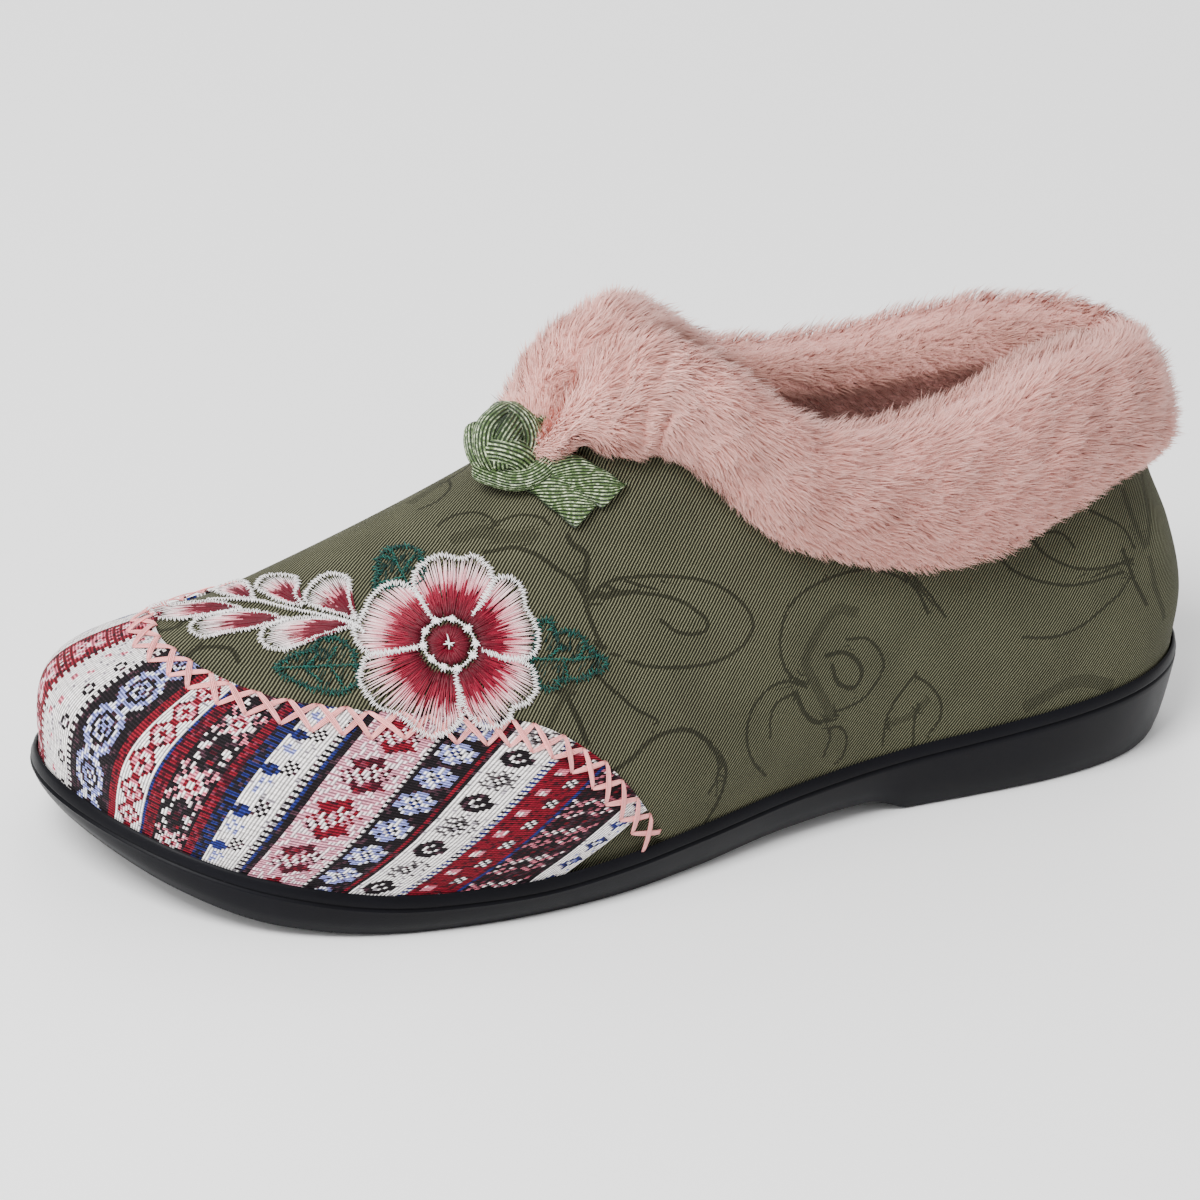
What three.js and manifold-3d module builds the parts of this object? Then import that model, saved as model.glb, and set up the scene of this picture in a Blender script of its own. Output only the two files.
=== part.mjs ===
import * as THREE from 'three';
import Module from 'manifold-3d';

// A left textile shoe, in millimetres: heel at the low X end, toe towards +X,
// the wearer's left towards +Y, the ground at Z = 0.

const wasm = await Module();
wasm.setup();

// Main sizes
const footLength = 247;
const ballHalf = 43.5;
const shaftHeight = 100;
const fabricWall = 2.6;
const clearance = 0.3;
const columns = 56;
const seed = 7;

// Sole
const recessDepth = 4.5;
const rimBevel = 2.4;
const edgeOut = 1.5;
const grooveDepth = 0.5;
const soleFootIn = 0.9;
const soleChamfer = 0.8;
const soleWaist = 0.5;
const bevelFootIn = 0.1;
const rimLip = 0.5;
const rimLipDrop = 0.25;
const insoleThickness = 4.0;
const insoleRound = 0.8;

// Toe cap
const capThickness = 1.0;
const capProud = 0.5;
const capRise = 5;
const capMargin = 0.55;

// Fur collar
const furOver = 7.5;
const furInside = 16;
const furSplit = 0.5;
const slotInside = 0.45;
const splitStart = 0.46;
const lockCount = 36;
const lockLength = 8;

// Frog closure
const knotBack = 3.5;
const knotRadius = 7.6;
const knotSink = 0.6;
const knotCord = 3.1;
const loopRadius = 7.6;
const loopCord = 2.9;
const loopStart = 35;
const tabWide = 3.1;
const tabThick = 1.5;
// Centres of the flat cords in plan, x and y as shares of footLength and ballHalf; the rows run
// from the outer end to the knot, lift and round in mm.
const frontCordRows = [
  { x: 0.598, y: 0.4, lift: 0, round: 0 },
  { x: 0.608, y: 0.285, lift: 0, round: 0.1 },
  { x: 0.617, y: 0.175, lift: 0.3, round: 0.5 },
  { x: 0.628, y: 0.08, lift: 1.6, round: 1.2 },
];
const rearCordRows = [
  { x: 0.578, y: 0.385, lift: 0, round: 0 },
  { x: 0.588, y: 0.285, lift: 0, round: 0.1 },
  { x: 0.598, y: 0.195, lift: 0.4, round: 0.5 },
  { x: 0.61, y: 0.1, lift: 2, round: 1.2 },
];
const knotRings = [
  { tipX: 62, tipY: 0, spin: 20, radius: 4.6 },
  { tipX: -62, tipY: 10, spin: 75, radius: 4.6 },
  { tipX: 10, tipY: 35, spin: 0, radius: 4.8 },
];

// Outline of the fabric line round the sole: place is a share of the length,
// width a share of the ellipse through heel and toe, shift a share of ballHalf,
// rim and ground are heights in mm.
const outlineRows = [
  { place: 0.0, width: 1.17, shift: 0.007, rim: 19.7, ground: 0 },
  { place: 0.05, width: 1.12, shift: -0.008, rim: 19.2, ground: 0 },
  { place: 0.13, width: 0.985, shift: -0.016, rim: 18.0, ground: 0 },
  { place: 0.25, width: 0.822, shift: -0.012, rim: 16.0, ground: 0 },
  { place: 0.3, width: 0.778, shift: -0.006, rim: 15.2, ground: 0 },
  { place: 0.34, width: 0.758, shift: 0.002, rim: 14.4, ground: 4.5 },
  { place: 0.42, width: 0.764, shift: 0.028, rim: 12.8, ground: 3.0 },
  { place: 0.52, width: 0.862, shift: 0.06, rim: 11.0, ground: 0.6 },
  { place: 0.6, width: 0.97, shift: 0.071, rim: 9.7, ground: 0 },
  { place: 0.68, width: 1.075, shift: 0.066, rim: 8.8, ground: 0 },
  { place: 0.77, width: 1.185, shift: 0.048, rim: 9.1, ground: 0 },
  { place: 0.88, width: 1.34, shift: 0.008, rim: 12.4, ground: 2.2 },
  { place: 0.95, width: 1.43, shift: -0.045, rim: 16.2, ground: 6.8 },
  { place: 1.0, width: 1.44, shift: -0.11, rim: 19.5, ground: 12 },
];

// Rows of the upper, one per rib. turn is the angle round the shoe in degrees, 0 at the heel
// seam and 180 at the toe tip; x, y and z are shares of footLength, ballHalf and shaftHeight.
const shoulderRows = [
  { turn: 0, x: 0.002, y: 0, z: 0.33 },
  { turn: 25, x: 0.045, y: 0.47, z: 0.32 },
  { turn: 50, x: 0.178, y: 0.69, z: 0.3 },
  { turn: 75, x: 0.368, y: 0.73, z: 0.26 },
  { turn: 95, x: 0.54, y: 0.89, z: 0.23 },
  { turn: 115, x: 0.71, y: 1.0, z: 0.22 },
  { turn: 135, x: 0.852, y: 0.93, z: 0.265 },
  { turn: 158, x: 0.956, y: 0.575, z: 0.315 },
  { turn: 180, x: 0.992, y: 0, z: 0.34 },
];
const middleRows = [
  { turn: 0, x: 0.016, y: 0, z: 0.45 },
  { turn: 25, x: 0.06, y: 0.43, z: 0.45 },
  { turn: 50, x: 0.18, y: 0.64, z: 0.43 },
  { turn: 75, x: 0.36, y: 0.71, z: 0.41 },
  { turn: 95, x: 0.51, y: 0.77, z: 0.42 },
  { turn: 115, x: 0.655, y: 0.755, z: 0.42 },
  { turn: 135, x: 0.775, y: 0.61, z: 0.435 },
  { turn: 158, x: 0.85, y: 0.33, z: 0.46 },
  { turn: 180, x: 0.87, y: 0, z: 0.47 },
];
const cuffRows = [
  { turn: 0, x: 0.042, y: 0, z: 0.58 },
  { turn: 25, x: 0.081, y: 0.35, z: 0.58 },
  { turn: 50, x: 0.183, y: 0.53, z: 0.55 },
  { turn: 75, x: 0.336, y: 0.645, z: 0.54 },
  { turn: 95, x: 0.448, y: 0.61, z: 0.62 },
  { turn: 115, x: 0.524, y: 0.47, z: 0.72 },
  { turn: 135, x: 0.557, y: 0.4, z: 0.735 },
  { turn: 158, x: 0.588, y: 0.32, z: 0.74 },
  { turn: 170, x: 0.614, y: 0.2, z: 0.727 },
  { turn: 180, x: 0.632, y: 0, z: 0.712 },
];
const collarRows = [
  { turn: 0, x: 0.078, y: 0, z: 0.81 },
  { turn: 25, x: 0.105, y: 0.235, z: 0.825 },
  { turn: 50, x: 0.188, y: 0.39, z: 0.82 },
  { turn: 75, x: 0.312, y: 0.5, z: 0.765 },
  { turn: 95, x: 0.412, y: 0.5, z: 0.785 },
  { turn: 115, x: 0.484, y: 0.36, z: 0.915 },
  { turn: 135, x: 0.53, y: 0.18, z: 0.96 },
  { turn: 158, x: 0.577, y: 0.13, z: 0.88 },
  { turn: 169, x: 0.595, y: 0.125, z: 0.805 },
  { turn: 180, x: 0.612, y: 0, z: 0.748 },
];
const levels = [
  { rows: shoulderRows, follow: 1 },
  { rows: middleRows, follow: 0.6 },
  { rows: cuffRows, follow: 0.2 },
  { rows: collarRows, follow: 0 },
];

// Edge of the toe cap: reach is the distance in mm up the rib from the sole's rim.
const capRows = [
  { turn: 95, reach: -8 },
  { turn: 98, reach: 0.5 },
  { turn: 101, reach: 9 },
  { turn: 105, reach: 18 },
  { turn: 110, reach: 24.5 },
  { turn: 117, reach: 30 },
  { turn: 126, reach: 33.5 },
  { turn: 136, reach: 35.5 },
  { turn: 150, reach: 34 },
  { turn: 165, reach: 34 },
  { turn: 180, reach: 34.5 },
];

// Fur band, in mm: drop is how far it hangs down the outside, plump and inner its thickness
// outside and inside the wall.
const furRows = [
  { turn: 0, drop: 21, plump: 8, inner: 9 },
  { turn: 30, drop: 22, plump: 8, inner: 8.5 },
  { turn: 60, drop: 23, plump: 8.5, inner: 7.5 },
  { turn: 90, drop: 21, plump: 8.5, inner: 6.5 },
  { turn: 115, drop: 19, plump: 8.5, inner: 6 },
  { turn: 140, drop: 16, plump: 8.5, inner: 6 },
  { turn: 152, drop: 13, plump: 8.5, inner: 3 },
  { turn: 165, drop: 8, plump: 7.5, inner: 1.2 },
  { turn: 180, drop: 3.5, plump: 5, inner: 0.8 },
];
// Section of the fur band. Along the wall, down is a share of the drop outside, over a share of
// furOver above the collar edge and inside a share of furInside below it; out is a share of
// plump outside the wall and, where it is negative, of inner inside it.
const furSection = [
  { down: 1.08, out: 0.3 },
  { down: 0.98, out: 0.72 },
  { down: 0.74, out: 0.98 },
  { down: 0.45, out: 1.06 },
  { down: 0.15, out: 1.0 },
  { over: 0.5, out: 0.72 },
  { over: 0.95, out: 0.22 },
  { over: 1.0, out: -0.25 },
  { over: 0.6, out: -0.75 },
  { inside: 0.1, out: -1.0 },
  { inside: 0.6, out: -0.95 },
  { inside: 1.0, out: -0.6 },
  { inside: 1.0, out: -0.2 },
];

const degrees = Math.PI / 180;

// Cubic through the rows' values; a level one keeps from passing them between rows.
function throughRows(rows, xKey, yKey, level) {
  const n = rows.length;
  const x = rows.map((row) => row[xKey]);
  const y = rows.map((row) => row[yKey]);
  const slope = [];
  for (let i = 0; i < n - 1; i += 1) {
    slope.push((y[i + 1] - y[i]) / (x[i + 1] - x[i]));
  }
  const tangent = x.map((_, i) => {
    if (i === 0) {
      return slope[0];
    }
    if (i === n - 1) {
      return slope[n - 2];
    }
    const product = slope[i - 1] * slope[i];
    if (level) {
      return product <= 0 ? 0 : (2 * product) / (slope[i - 1] + slope[i]);
    }
    const before = x[i] - x[i - 1];
    const after = x[i + 1] - x[i];
    return (slope[i - 1] * after + slope[i] * before) / (before + after);
  });
  return (at) => {
    let i = 0;
    while (i < n - 2 && at > x[i + 1]) {
      i += 1;
    }
    return hermite(x[i], x[i + 1], y[i], y[i + 1], tangent[i], tangent[i + 1], at);
  };
}

function hermite(x0, x1, y0, y1, m0, m1, at) {
  const h = x1 - x0;
  const t = Math.min(Math.max((at - x0) / h, 0), 1);
  const a = 2 * t ** 3 - 3 * t ** 2 + 1;
  const b = t ** 3 - 2 * t ** 2 + t;
  const c = 3 * t ** 2 - 2 * t ** 3;
  const d = t ** 3 - t ** 2;
  return a * y0 + b * h * m0 + c * y1 + d * h * m1;
}

// Smooth curve over half a turn whose mirror image continues it past both ends.
function halfTurn(rows, key, sign) {
  const first = rows[1];
  const last = rows[rows.length - 2];
  const turn = [-first.turn, ...rows.map((row) => row.turn), 360 - last.turn];
  const value = [sign * first[key], ...rows.map((row) => row[key]), sign * last[key]];
  const tangent = turn.map((_, i) => {
    if (i === 0 || i === turn.length - 1) {
      return 0;
    }
    const before = turn[i] - turn[i - 1];
    const after = turn[i + 1] - turn[i];
    const left = (value[i] - value[i - 1]) / before;
    const right = (value[i + 1] - value[i]) / after;
    return (left * after + right * before) / (before + after);
  });
  return (at) => {
    let i = 1;
    while (i < turn.length - 3 && at > turn[i + 1]) {
      i += 1;
    }
    return hermite(turn[i], turn[i + 1], value[i], value[i + 1], tangent[i], tangent[i + 1], at);
  };
}

const widthAt = throughRows(outlineRows, 'place', 'width', false);
const shiftAt = throughRows(outlineRows, 'place', 'shift', false);
const rimAt = throughRows(outlineRows, 'place', 'rim', true);
const groundAt = throughRows(outlineRows, 'place', 'ground', true);
const capReach = throughRows(capRows, 'turn', 'reach', true);
const furDrop = throughRows(furRows, 'turn', 'drop', true);
const furPlump = throughRows(furRows, 'turn', 'plump', true);
const furInner = throughRows(furRows, 'turn', 'inner', true);
const levelCurves = levels.map((level) => ({
  follow: level.follow,
  x: halfTurn(level.rows, 'x', 1),
  y: halfTurn(level.rows, 'y', -1),
  z: halfTurn(level.rows, 'z', 1),
}));

// The angle folded to one half of the shoe, and which half it was on.
function fold(turn) {
  const wrapped = ((turn % 360) + 360) % 360;
  return wrapped <= 180 ? { turn: wrapped, side: 1 } : { turn: 360 - wrapped, side: -1 };
}

const placeOf = (turn) => (1 - Math.cos(fold(turn).turn * degrees)) / 2;

function rimPoint(turn) {
  const half = fold(turn);
  const place = placeOf(turn);
  const across = ballHalf * widthAt(place) * Math.sin(half.turn * degrees);
  const y = half.side * across + ballHalf * shiftAt(place);
  return new THREE.Vector3(place * footLength, y, rimAt(place));
}

// Outward direction of the rim in plan.
function rimNormal(turn) {
  const step = 0.5;
  const along = rimPoint(turn + step).sub(rimPoint(turn - step));
  return new THREE.Vector3(-along.y, along.x, 0).normalize();
}

// One rib of the upper, from the sole's rim to the collar's edge.
const ribStore = new Map();
function rib(turn) {
  const key = turn.toFixed(4);
  if (!ribStore.has(key)) {
    const half = fold(turn);
    const base = rimPoint(turn);
    const shift = ballHalf * shiftAt(placeOf(turn));
    const points = levelCurves.map((level) => new THREE.Vector3(
      level.x(half.turn) * footLength,
      half.side * level.y(half.turn) * ballHalf + level.follow * shift,
      level.z(half.turn) * shaftHeight,
    ));
    const curve = new THREE.CatmullRomCurve3([base, ...points], false, 'centripetal');
    curve.arcLengthDivisions = 60;
    ribStore.set(key, { curve, length: curve.getLength() });
  }
  return ribStore.get(key);
}

// A point on the outside of the upper, reach mm up the rib from the rim.
function skinPoint(turn, reach) {
  const { curve, length } = rib(turn);
  if (reach < 0) {
    const point = curve.getPointAt(0);
    point.z += reach;
    return point;
  }
  if (reach > length) {
    const tip = curve.getPointAt(1);
    const before = curve.getPointAt(0.97);
    const way = tip.clone().sub(before).normalize();
    return tip.addScaledVector(way, reach - length);
  }
  return curve.getPointAt(reach / length);
}

const turnStep = 1.2;
const reachStep = 0.4;
function skinNormal(turn, share) {
  const at = (t, extra) => skinPoint(t, Math.max(rib(t).length * share + extra, 0.01));
  const round = at(turn + turnStep, 0).sub(at(turn - turnStep, 0));
  const up = at(turn, reachStep).sub(at(turn, -reachStep));
  const normal = up.cross(round).normalize();
  const blend = THREE.MathUtils.smoothstep(share * rib(turn).length, 0, 6);
  return rimNormal(turn).lerp(normal, blend).normalize();
}

// The skin moved out by lift mm; share runs from 0 at the rim to 1 at the collar.
function liftedPoint(turn, share, lift) {
  const point = skinPoint(turn, share * rib(turn).length);
  return point.addScaledVector(skinNormal(turn, share), lift);
}

function geometryOf(positions, indices) {
  const geometry = new THREE.BufferGeometry();
  geometry.setAttribute('position', new THREE.Float32BufferAttribute(positions, 3));
  geometry.setIndex(indices);
  return geometry;
}

function solidOf(geometry) {
  return new wasm.Manifold(new wasm.Mesh({
    numProp: 3,
    vertProperties: new Float32Array(geometry.attributes.position.array),
    triVerts: new Uint32Array(geometry.index.array),
  }));
}

function geometryOfSolid(solid) {
  const mesh = solid.getMesh();
  return geometryOf(Array.from(mesh.vertProperties), Array.from(mesh.triVerts));
}

// Rings of equal count joined into a closed tube; closed in the ring direction, and either
// closed on itself (loop) or capped by fans at its two ends.
function ringSolid(rings, loop) {
  const count = rings[0].length;
  const positions = rings.flat().flatMap((p) => [p.x, p.y, p.z]);
  const indices = [];
  const last = loop ? rings.length : rings.length - 1;
  for (let r = 0; r < last; r += 1) {
    const next = (r + 1) % rings.length;
    for (let i = 0; i < count; i += 1) {
      const j = (i + 1) % count;
      const a = r * count + i;
      const b = r * count + j;
      const c = next * count + j;
      const d = next * count + i;
      const first = rings[r][i].distanceTo(rings[next][j]);
      const second = rings[r][j].distanceTo(rings[next][i]);
      indices.push(...(first < second ? [a, b, c, a, c, d] : [a, b, d, b, c, d]));
    }
  }
  if (!loop) {
    for (const [r, turned] of [[0, true], [rings.length - 1, false]]) {
      const centre = positions.length / 3;
      const middle = rings[r].reduce((sum, p) => sum.add(p), new THREE.Vector3());
      middle.divideScalar(count);
      positions.push(middle.x, middle.y, middle.z);
      for (let i = 0; i < count; i += 1) {
        const a = r * count + i;
        const b = r * count + ((i + 1) % count);
        indices.push(...(turned ? [b, a, centre] : [a, b, centre]));
      }
    }
  }
  const solid = solidOf(geometryOf(positions, indices));
  return solid.volume() < 0 ? solidOf(geometryOf(positions, turnedFaces(indices))) : solid;
}

function turnedFaces(indices) {
  const turned = indices.slice();
  for (let i = 0; i < turned.length; i += 3) {
    [turned[i + 1], turned[i + 2]] = [turned[i + 2], turned[i + 1]];
  }
  return turned;
}

// The ribs stand closer together at the toe and throat than at the heel.
const ribCrowd = 18;
function turnOf(i) {
  const even = (360 * i) / columns;
  return even + ribCrowd * Math.sin(even * degrees);
}
const turns = Array.from({ length: columns }, (_, i) => turnOf(i));
const skinRows = 10;
const shares = Array.from({ length: skinRows + 1 }, (_, i) => i / skinRows);

// A band of the upper between two lifts, each a function of the reach above the rim;
// extra carries its top past the collar edge and deeper carries its foot down.
function skinBand(lowLift, highLift, extra, deeper) {
  const rings = turns.map((turn) => {
    const length = rib(turn).length;
    const side = (liftOf) => {
      const foot = skinPoint(turn, -deeper).addScaledVector(rimNormal(turn), liftOf(0));
      const line = shares.map((share) => liftedPoint(turn, share, liftOf(share * length)));
      if (extra > 0) {
        const tip = skinPoint(turn, length + extra);
        line.push(tip.addScaledVector(skinNormal(turn, 1), liftOf(length)));
      }
      return [foot, ...line];
    };
    return [...side(highLift), ...side(lowLift).reverse()];
  });
  return ringSolid(rings, true);
}

// The part of the skin on the toe's side of the cap's edge, as a thick cutter.
function capRegion(margin) {
  const reachUnder = -2 * recessDepth;
  const thick = 5;
  const steps = 6;
  const start = capRows[0].turn - margin;
  const stations = 60;
  const rings = [];
  for (let i = 0; i <= stations; i += 1) {
    const turn = start + ((360 - 2 * start) * i) / stations;
    const top = capReach(fold(turn).turn) + margin;
    const normalAt = (reach) => skinNormal(turn, Math.max(reach, 0) / rib(turn).length);
    const line = (lift) => Array.from({ length: steps + 1 }, (_, k) => {
      const reach = reachUnder + ((top - reachUnder) * k) / steps;
      return skinPoint(turn, reach).addScaledVector(normalAt(reach), lift);
    });
    rings.push([...line(thick), ...line(-thick).reverse()]);
  }
  return ringSolid(rings, false);
}

const upperFoot = recessDepth - clearance;
const capLift = (reach) => capProud * THREE.MathUtils.smoothstep(reach, 0, capRise);

function makeUpper() {
  const body = skinBand(() => -fabricWall, () => 0, 0, upperFoot);
  const beyond = 2;
  const floor = (reach) => capLift(reach) - capThickness - clearance;
  const bed = skinBand(floor, () => capProud + beyond, 0, upperFoot + beyond);
  return body.subtract(bed.intersect(capRegion(capMargin)));
}

function makeToeCap() {
  const band = skinBand((reach) => capLift(reach) - capThickness, capLift, 0, upperFoot);
  return band.intersect(capRegion(0));
}

// A solid of stacked outlines closed by strips across the shoe at its first and last ring.
function outlineSolid(profile, across) {
  const rings = profile.map((row) => turns.map((turn) => {
    const point = rimPoint(turn).addScaledVector(rimNormal(turn), row.out);
    point.z = row.height(placeOf(turn));
    return point;
  }));
  const positions = rings.flat().flatMap((p) => [p.x, p.y, p.z]);
  const indices = [];
  for (let r = 0; r < rings.length - 1; r += 1) {
    for (let i = 0; i < columns; i += 1) {
      const j = (i + 1) % columns;
      const a = r * columns + i;
      const b = r * columns + j;
      indices.push(a, b, b + columns, a, b + columns, a + columns);
    }
  }
  for (const [ring, turned] of [[0, true], [rings.length - 1, false]]) {
    const half = columns / 2;
    const line = (i) => {
      const left = ring * columns + i;
      const right = ring * columns + ((columns - i) % columns);
      if (left === right) {
        return [left];
      }
      const ids = [left];
      for (let k = 1; k < across; k += 1) {
        const p = rings[ring][i].clone().lerp(rings[ring][(columns - i) % columns], k / across);
        ids.push(positions.length / 3);
        positions.push(p.x, p.y, p.z);
      }
      ids.push(right);
      return ids;
    };
    const lines = Array.from({ length: half + 1 }, (_, i) => line(i));
    const add = (a, b, c) => indices.push(...(turned ? [a, b, c] : [a, c, b]));
    for (let i = 0; i < half; i += 1) {
      const [from, to] = [lines[i], lines[i + 1]];
      for (let k = 0; k < across; k += 1) {
        const a = from[Math.min(k, from.length - 1)];
        const b = from[Math.min(k + 1, from.length - 1)];
        const c = to[Math.min(k + 1, to.length - 1)];
        const d = to[Math.min(k, to.length - 1)];
        if (a !== b) {
          add(a, b, c);
        }
        if (c !== d) {
          add(a, c, d);
        }
      }
    }
  }
  const solid = solidOf(geometryOf(positions, indices));
  return solid.volume() < 0 ? solidOf(geometryOf(positions, turnedFaces(indices))) : solid;
}

function makeSole() {
  const edge = (place) => rimAt(place) - rimBevel;
  const profile = [
    { out: -soleFootIn - soleChamfer, height: groundAt },
    { out: -soleFootIn, height: (place) => groundAt(place) + soleChamfer },
    { out: edgeOut - soleWaist, height: (place) => (groundAt(place) + edge(place)) / 2 },
    { out: edgeOut, height: (place) => edge(place) - grooveDepth },
    { out: edgeOut - grooveDepth, height: edge },
    { out: edgeOut - bevelFootIn, height: (place) => edge(place) + grooveDepth },
    { out: clearance + rimLip, height: (place) => rimAt(place) - rimLipDrop },
    { out: clearance, height: rimAt },
    { out: clearance, height: (place) => rimAt(place) - recessDepth },
  ];
  return outlineSolid(profile, 4);
}

function makeInsole() {
  const foot = (place) => rimAt(place) - recessDepth + clearance;
  const out = -fabricWall - clearance;
  const profile = [
    { out, height: foot },
    { out, height: (place) => foot(place) + insoleThickness - insoleRound },
    { out: out - insoleRound, height: (place) => foot(place) + insoleThickness },
  ];
  return outlineSolid(profile, 2);
}

// Repeatable values between 0 and 1.
function randomSource(start) {
  let state = start;
  return () => {
    state = (state * 16807) % 2147483647;
    return state / 2147483647;
  };
}

// A point of the fur's section at a turn.
function furPoint(turn, row) {
  const half = fold(turn);
  const { length } = rib(turn);
  const drop = furDrop(half.turn);
  const plump = furPlump(half.turn);
  let down = row.down * drop;
  if (row.over !== undefined) {
    down = -row.over * furOver;
  }
  if (row.inside !== undefined) {
    down = row.inside * furInside;
  }
  const reach = length - down;
  const share = Math.min(Math.max(reach / length, 0), 1);
  const inner = furInner(half.turn);
  const out = row.out < 0 ? row.out * inner - fabricWall : row.out * plump;
  return skinPoint(turn, reach).addScaledVector(skinNormal(turn, share), out);
}

// A flat tapered lock that lies along the fur's surface and lifts at its tip.
function furLock(root, out, lean, length) {
  const sideways = new THREE.Vector3().crossVectors(out, lean).normalize();
  const rings = [[-0.4, 0.3, -0.2], [0.25, 0.28, 0.06], [1, 0.04, 0.14]].map((row) => {
    const [along, half, rise] = row;
    const centre = root.clone()
      .addScaledVector(lean, along * length)
      .addScaledVector(out, rise * length);
    return [[1, -0.2], [0, 0.55], [-1, -0.2]].map(([across, up]) => centre.clone()
      .addScaledVector(sideways, across * half * length)
      .addScaledVector(out, up * half * length));
  });
  return ringSolid(rings, false);
}

// Where a lock of the fur starts and the way it lies.
function lockAt(turn, random) {
  const rowsDown = 4.4;
  const pick = rowsDown * random();
  const low = Math.floor(pick);
  const root = furPoint(turn, furSection[low]).lerp(furPoint(turn, furSection[low + 1]), pick - low);
  const { length } = rib(turn);
  const share = 1 - (0.9 - 0.18 * pick) * (furDrop(fold(turn).turn) / length);
  const out = skinNormal(turn, Math.min(share, 1));
  const back = fold(turn).side < 0 ? 1 : -1;
  const round = skinPoint(turn + back, 40).sub(skinPoint(turn, 40)).normalize();
  const fall = skinPoint(turn, length - 4).sub(skinPoint(turn, length)).normalize();
  const lean = fall.multiplyScalar(0.8).addScaledVector(round, 0.7).normalize();
  return furLock(root, out, lean, lockLength * (0.75 + 0.5 * random()));
}

// One side of the fur band, from past the heel seam to the split at the throat.
function furHalf(side, random) {
  const stations = columns / 2 + 2;
  const first = -1;
  const rings = Array.from({ length: stations }, (_, i) => {
    const turn = side * turnOf(i + first);
    return furSection.map((row) => furPoint(turn, row));
  });
  const pieces = [ringSolid(rings, false)];
  for (let i = 0; i < lockCount / 2; i += 1) {
    const turn = (side * 172 * (i + random())) / (lockCount / 2);
    pieces.push(lockAt(turn, random));
  }
  const room = footLength * (1 - splitStart);
  const height = 2 * shaftHeight;
  const beyond = wasm.Manifold.cube([room, height, height], true).translate([
    footLength * splitStart + room / 2,
    side * (furSplit - height / 2),
    shaftHeight,
  ]);
  return wasm.Manifold.union(pieces).subtract(beyond);
}

function makeFur(frog) {
  const random = randomSource(seed);
  const fur = furHalf(1, random).add(furHalf(-1, random));
  const slot = skinBand(() => -fabricWall - slotInside, () => clearance, clearance, upperFoot);
  const skin = skinBand(() => -fabricWall - clearance / 2, () => clearance, 0, upperFoot);
  return keepLargest(fur.subtract(slot).subtract(skin).subtract(frog));
}

// A cord of oval section swept along its stations, grown by a margin all round and at its ends.
function cordSolid(stations, sides, grow) {
  const last = stations.length - 1;
  const rings = stations.map((station, i) => {
    const before = stations[Math.max(i - 1, 0)].centre;
    const after = stations[Math.min(i + 1, last)].centre;
    const along = after.clone().sub(before).normalize();
    const side = new THREE.Vector3().crossVectors(along, station.up).normalize();
    const up = new THREE.Vector3().crossVectors(side, along).normalize();
    const past = (i === last ? grow : 0) - (i === 0 ? grow : 0);
    return Array.from({ length: sides }, (_, k) => {
      const angle = (2 * Math.PI * (k + 0.5)) / sides;
      return station.centre.clone()
        .addScaledVector(along, past)
        .addScaledVector(side, (station.wide + grow) * Math.cos(angle))
        .addScaledVector(up, (station.thick + grow) * Math.sin(angle));
    });
  });
  return ringSolid(rings, false);
}

// The turn and reach of the skin above a place in plan, found by Newton steps.
function skinOver(x, y) {
  const small = 0.2;
  const steps = 14;
  let turn = 165;
  let reach = rib(turn).length * 0.9;
  for (let i = 0; i < steps; i += 1) {
    const here = skinPoint(turn, reach);
    const round = skinPoint(turn + small, reach).sub(here).divideScalar(small);
    const up = skinPoint(turn, reach + small).sub(here).divideScalar(small);
    const size = round.x * up.y - round.y * up.x;
    const dx = x - here.x;
    const dy = y - here.y;
    turn += THREE.MathUtils.clamp((dx * up.y - dy * up.x) / size, -6, 6);
    reach += THREE.MathUtils.clamp((round.x * dy - round.y * dx) / size, -6, 6);
  }
  return { turn, reach };
}

// A flat cord's station on the left (side 1) or right of the throat.
function tabStation(row, side) {
  const found = skinOver(row.x * footLength, row.y * ballHalf);
  const turn = side > 0 ? found.turn : 360 - found.turn;
  const up = skinNormal(turn, found.reach / rib(turn).length);
  const centre = skinPoint(turn, found.reach);
  centre.addScaledVector(up, tabThick + clearance + row.lift);
  return { centre, up, wide: tabWide, thick: tabThick + row.round };
}

const ballInset = 1;
const throat = skinPoint(180, rib(180).length - knotBack);
const throatUp = skinNormal(180, 1 - knotBack / rib(180).length);
const knotCentre = throat.clone().addScaledVector(throatUp, knotRadius + clearance - knotSink);
const knotAlong = skinPoint(180, rib(180).length - knotBack - 4).sub(throat).normalize();
const knotAcross = new THREE.Vector3().crossVectors(throatUp, knotAlong).normalize();

function knotPoint(along, across, up) {
  return knotCentre.clone()
    .addScaledVector(knotAlong, along)
    .addScaledVector(knotAcross, across)
    .addScaledVector(throatUp, up);
}

function ball(radius) {
  return wasm.Manifold.sphere(radius, 16).translate([knotCentre.x, knotCentre.y, knotCentre.z]);
}

// A closed ring of cord round the knot's centre, tipped over by two angles.
function knotRing(row, grow) {
  const tip = new THREE.Euler(row.tipX * degrees, row.tipY * degrees, row.spin * degrees);
  const steps = 14;
  const sides = 6;
  const axis = new THREE.Vector3(0, 0, 1).applyEuler(tip);
  const rings = Array.from({ length: steps }, (_, i) => {
    const angle = (2 * Math.PI * i) / steps;
    const spoke = new THREE.Vector3(Math.cos(angle), Math.sin(angle), 0).applyEuler(tip);
    return Array.from({ length: sides }, (__, k) => {
      const round = (2 * Math.PI * k) / sides;
      const out = row.radius + (knotCord + grow) * Math.cos(round);
      const local = spoke.clone().multiplyScalar(out);
      local.addScaledVector(axis, (knotCord + grow) * Math.sin(round));
      return knotPoint(local.x, local.y, local.z);
    });
  });
  return ringSolid(rings, true);
}

const keepLargest = (solid) => solid.decompose().sort((a, b) => b.volume() - a.volume())[0];

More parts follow.
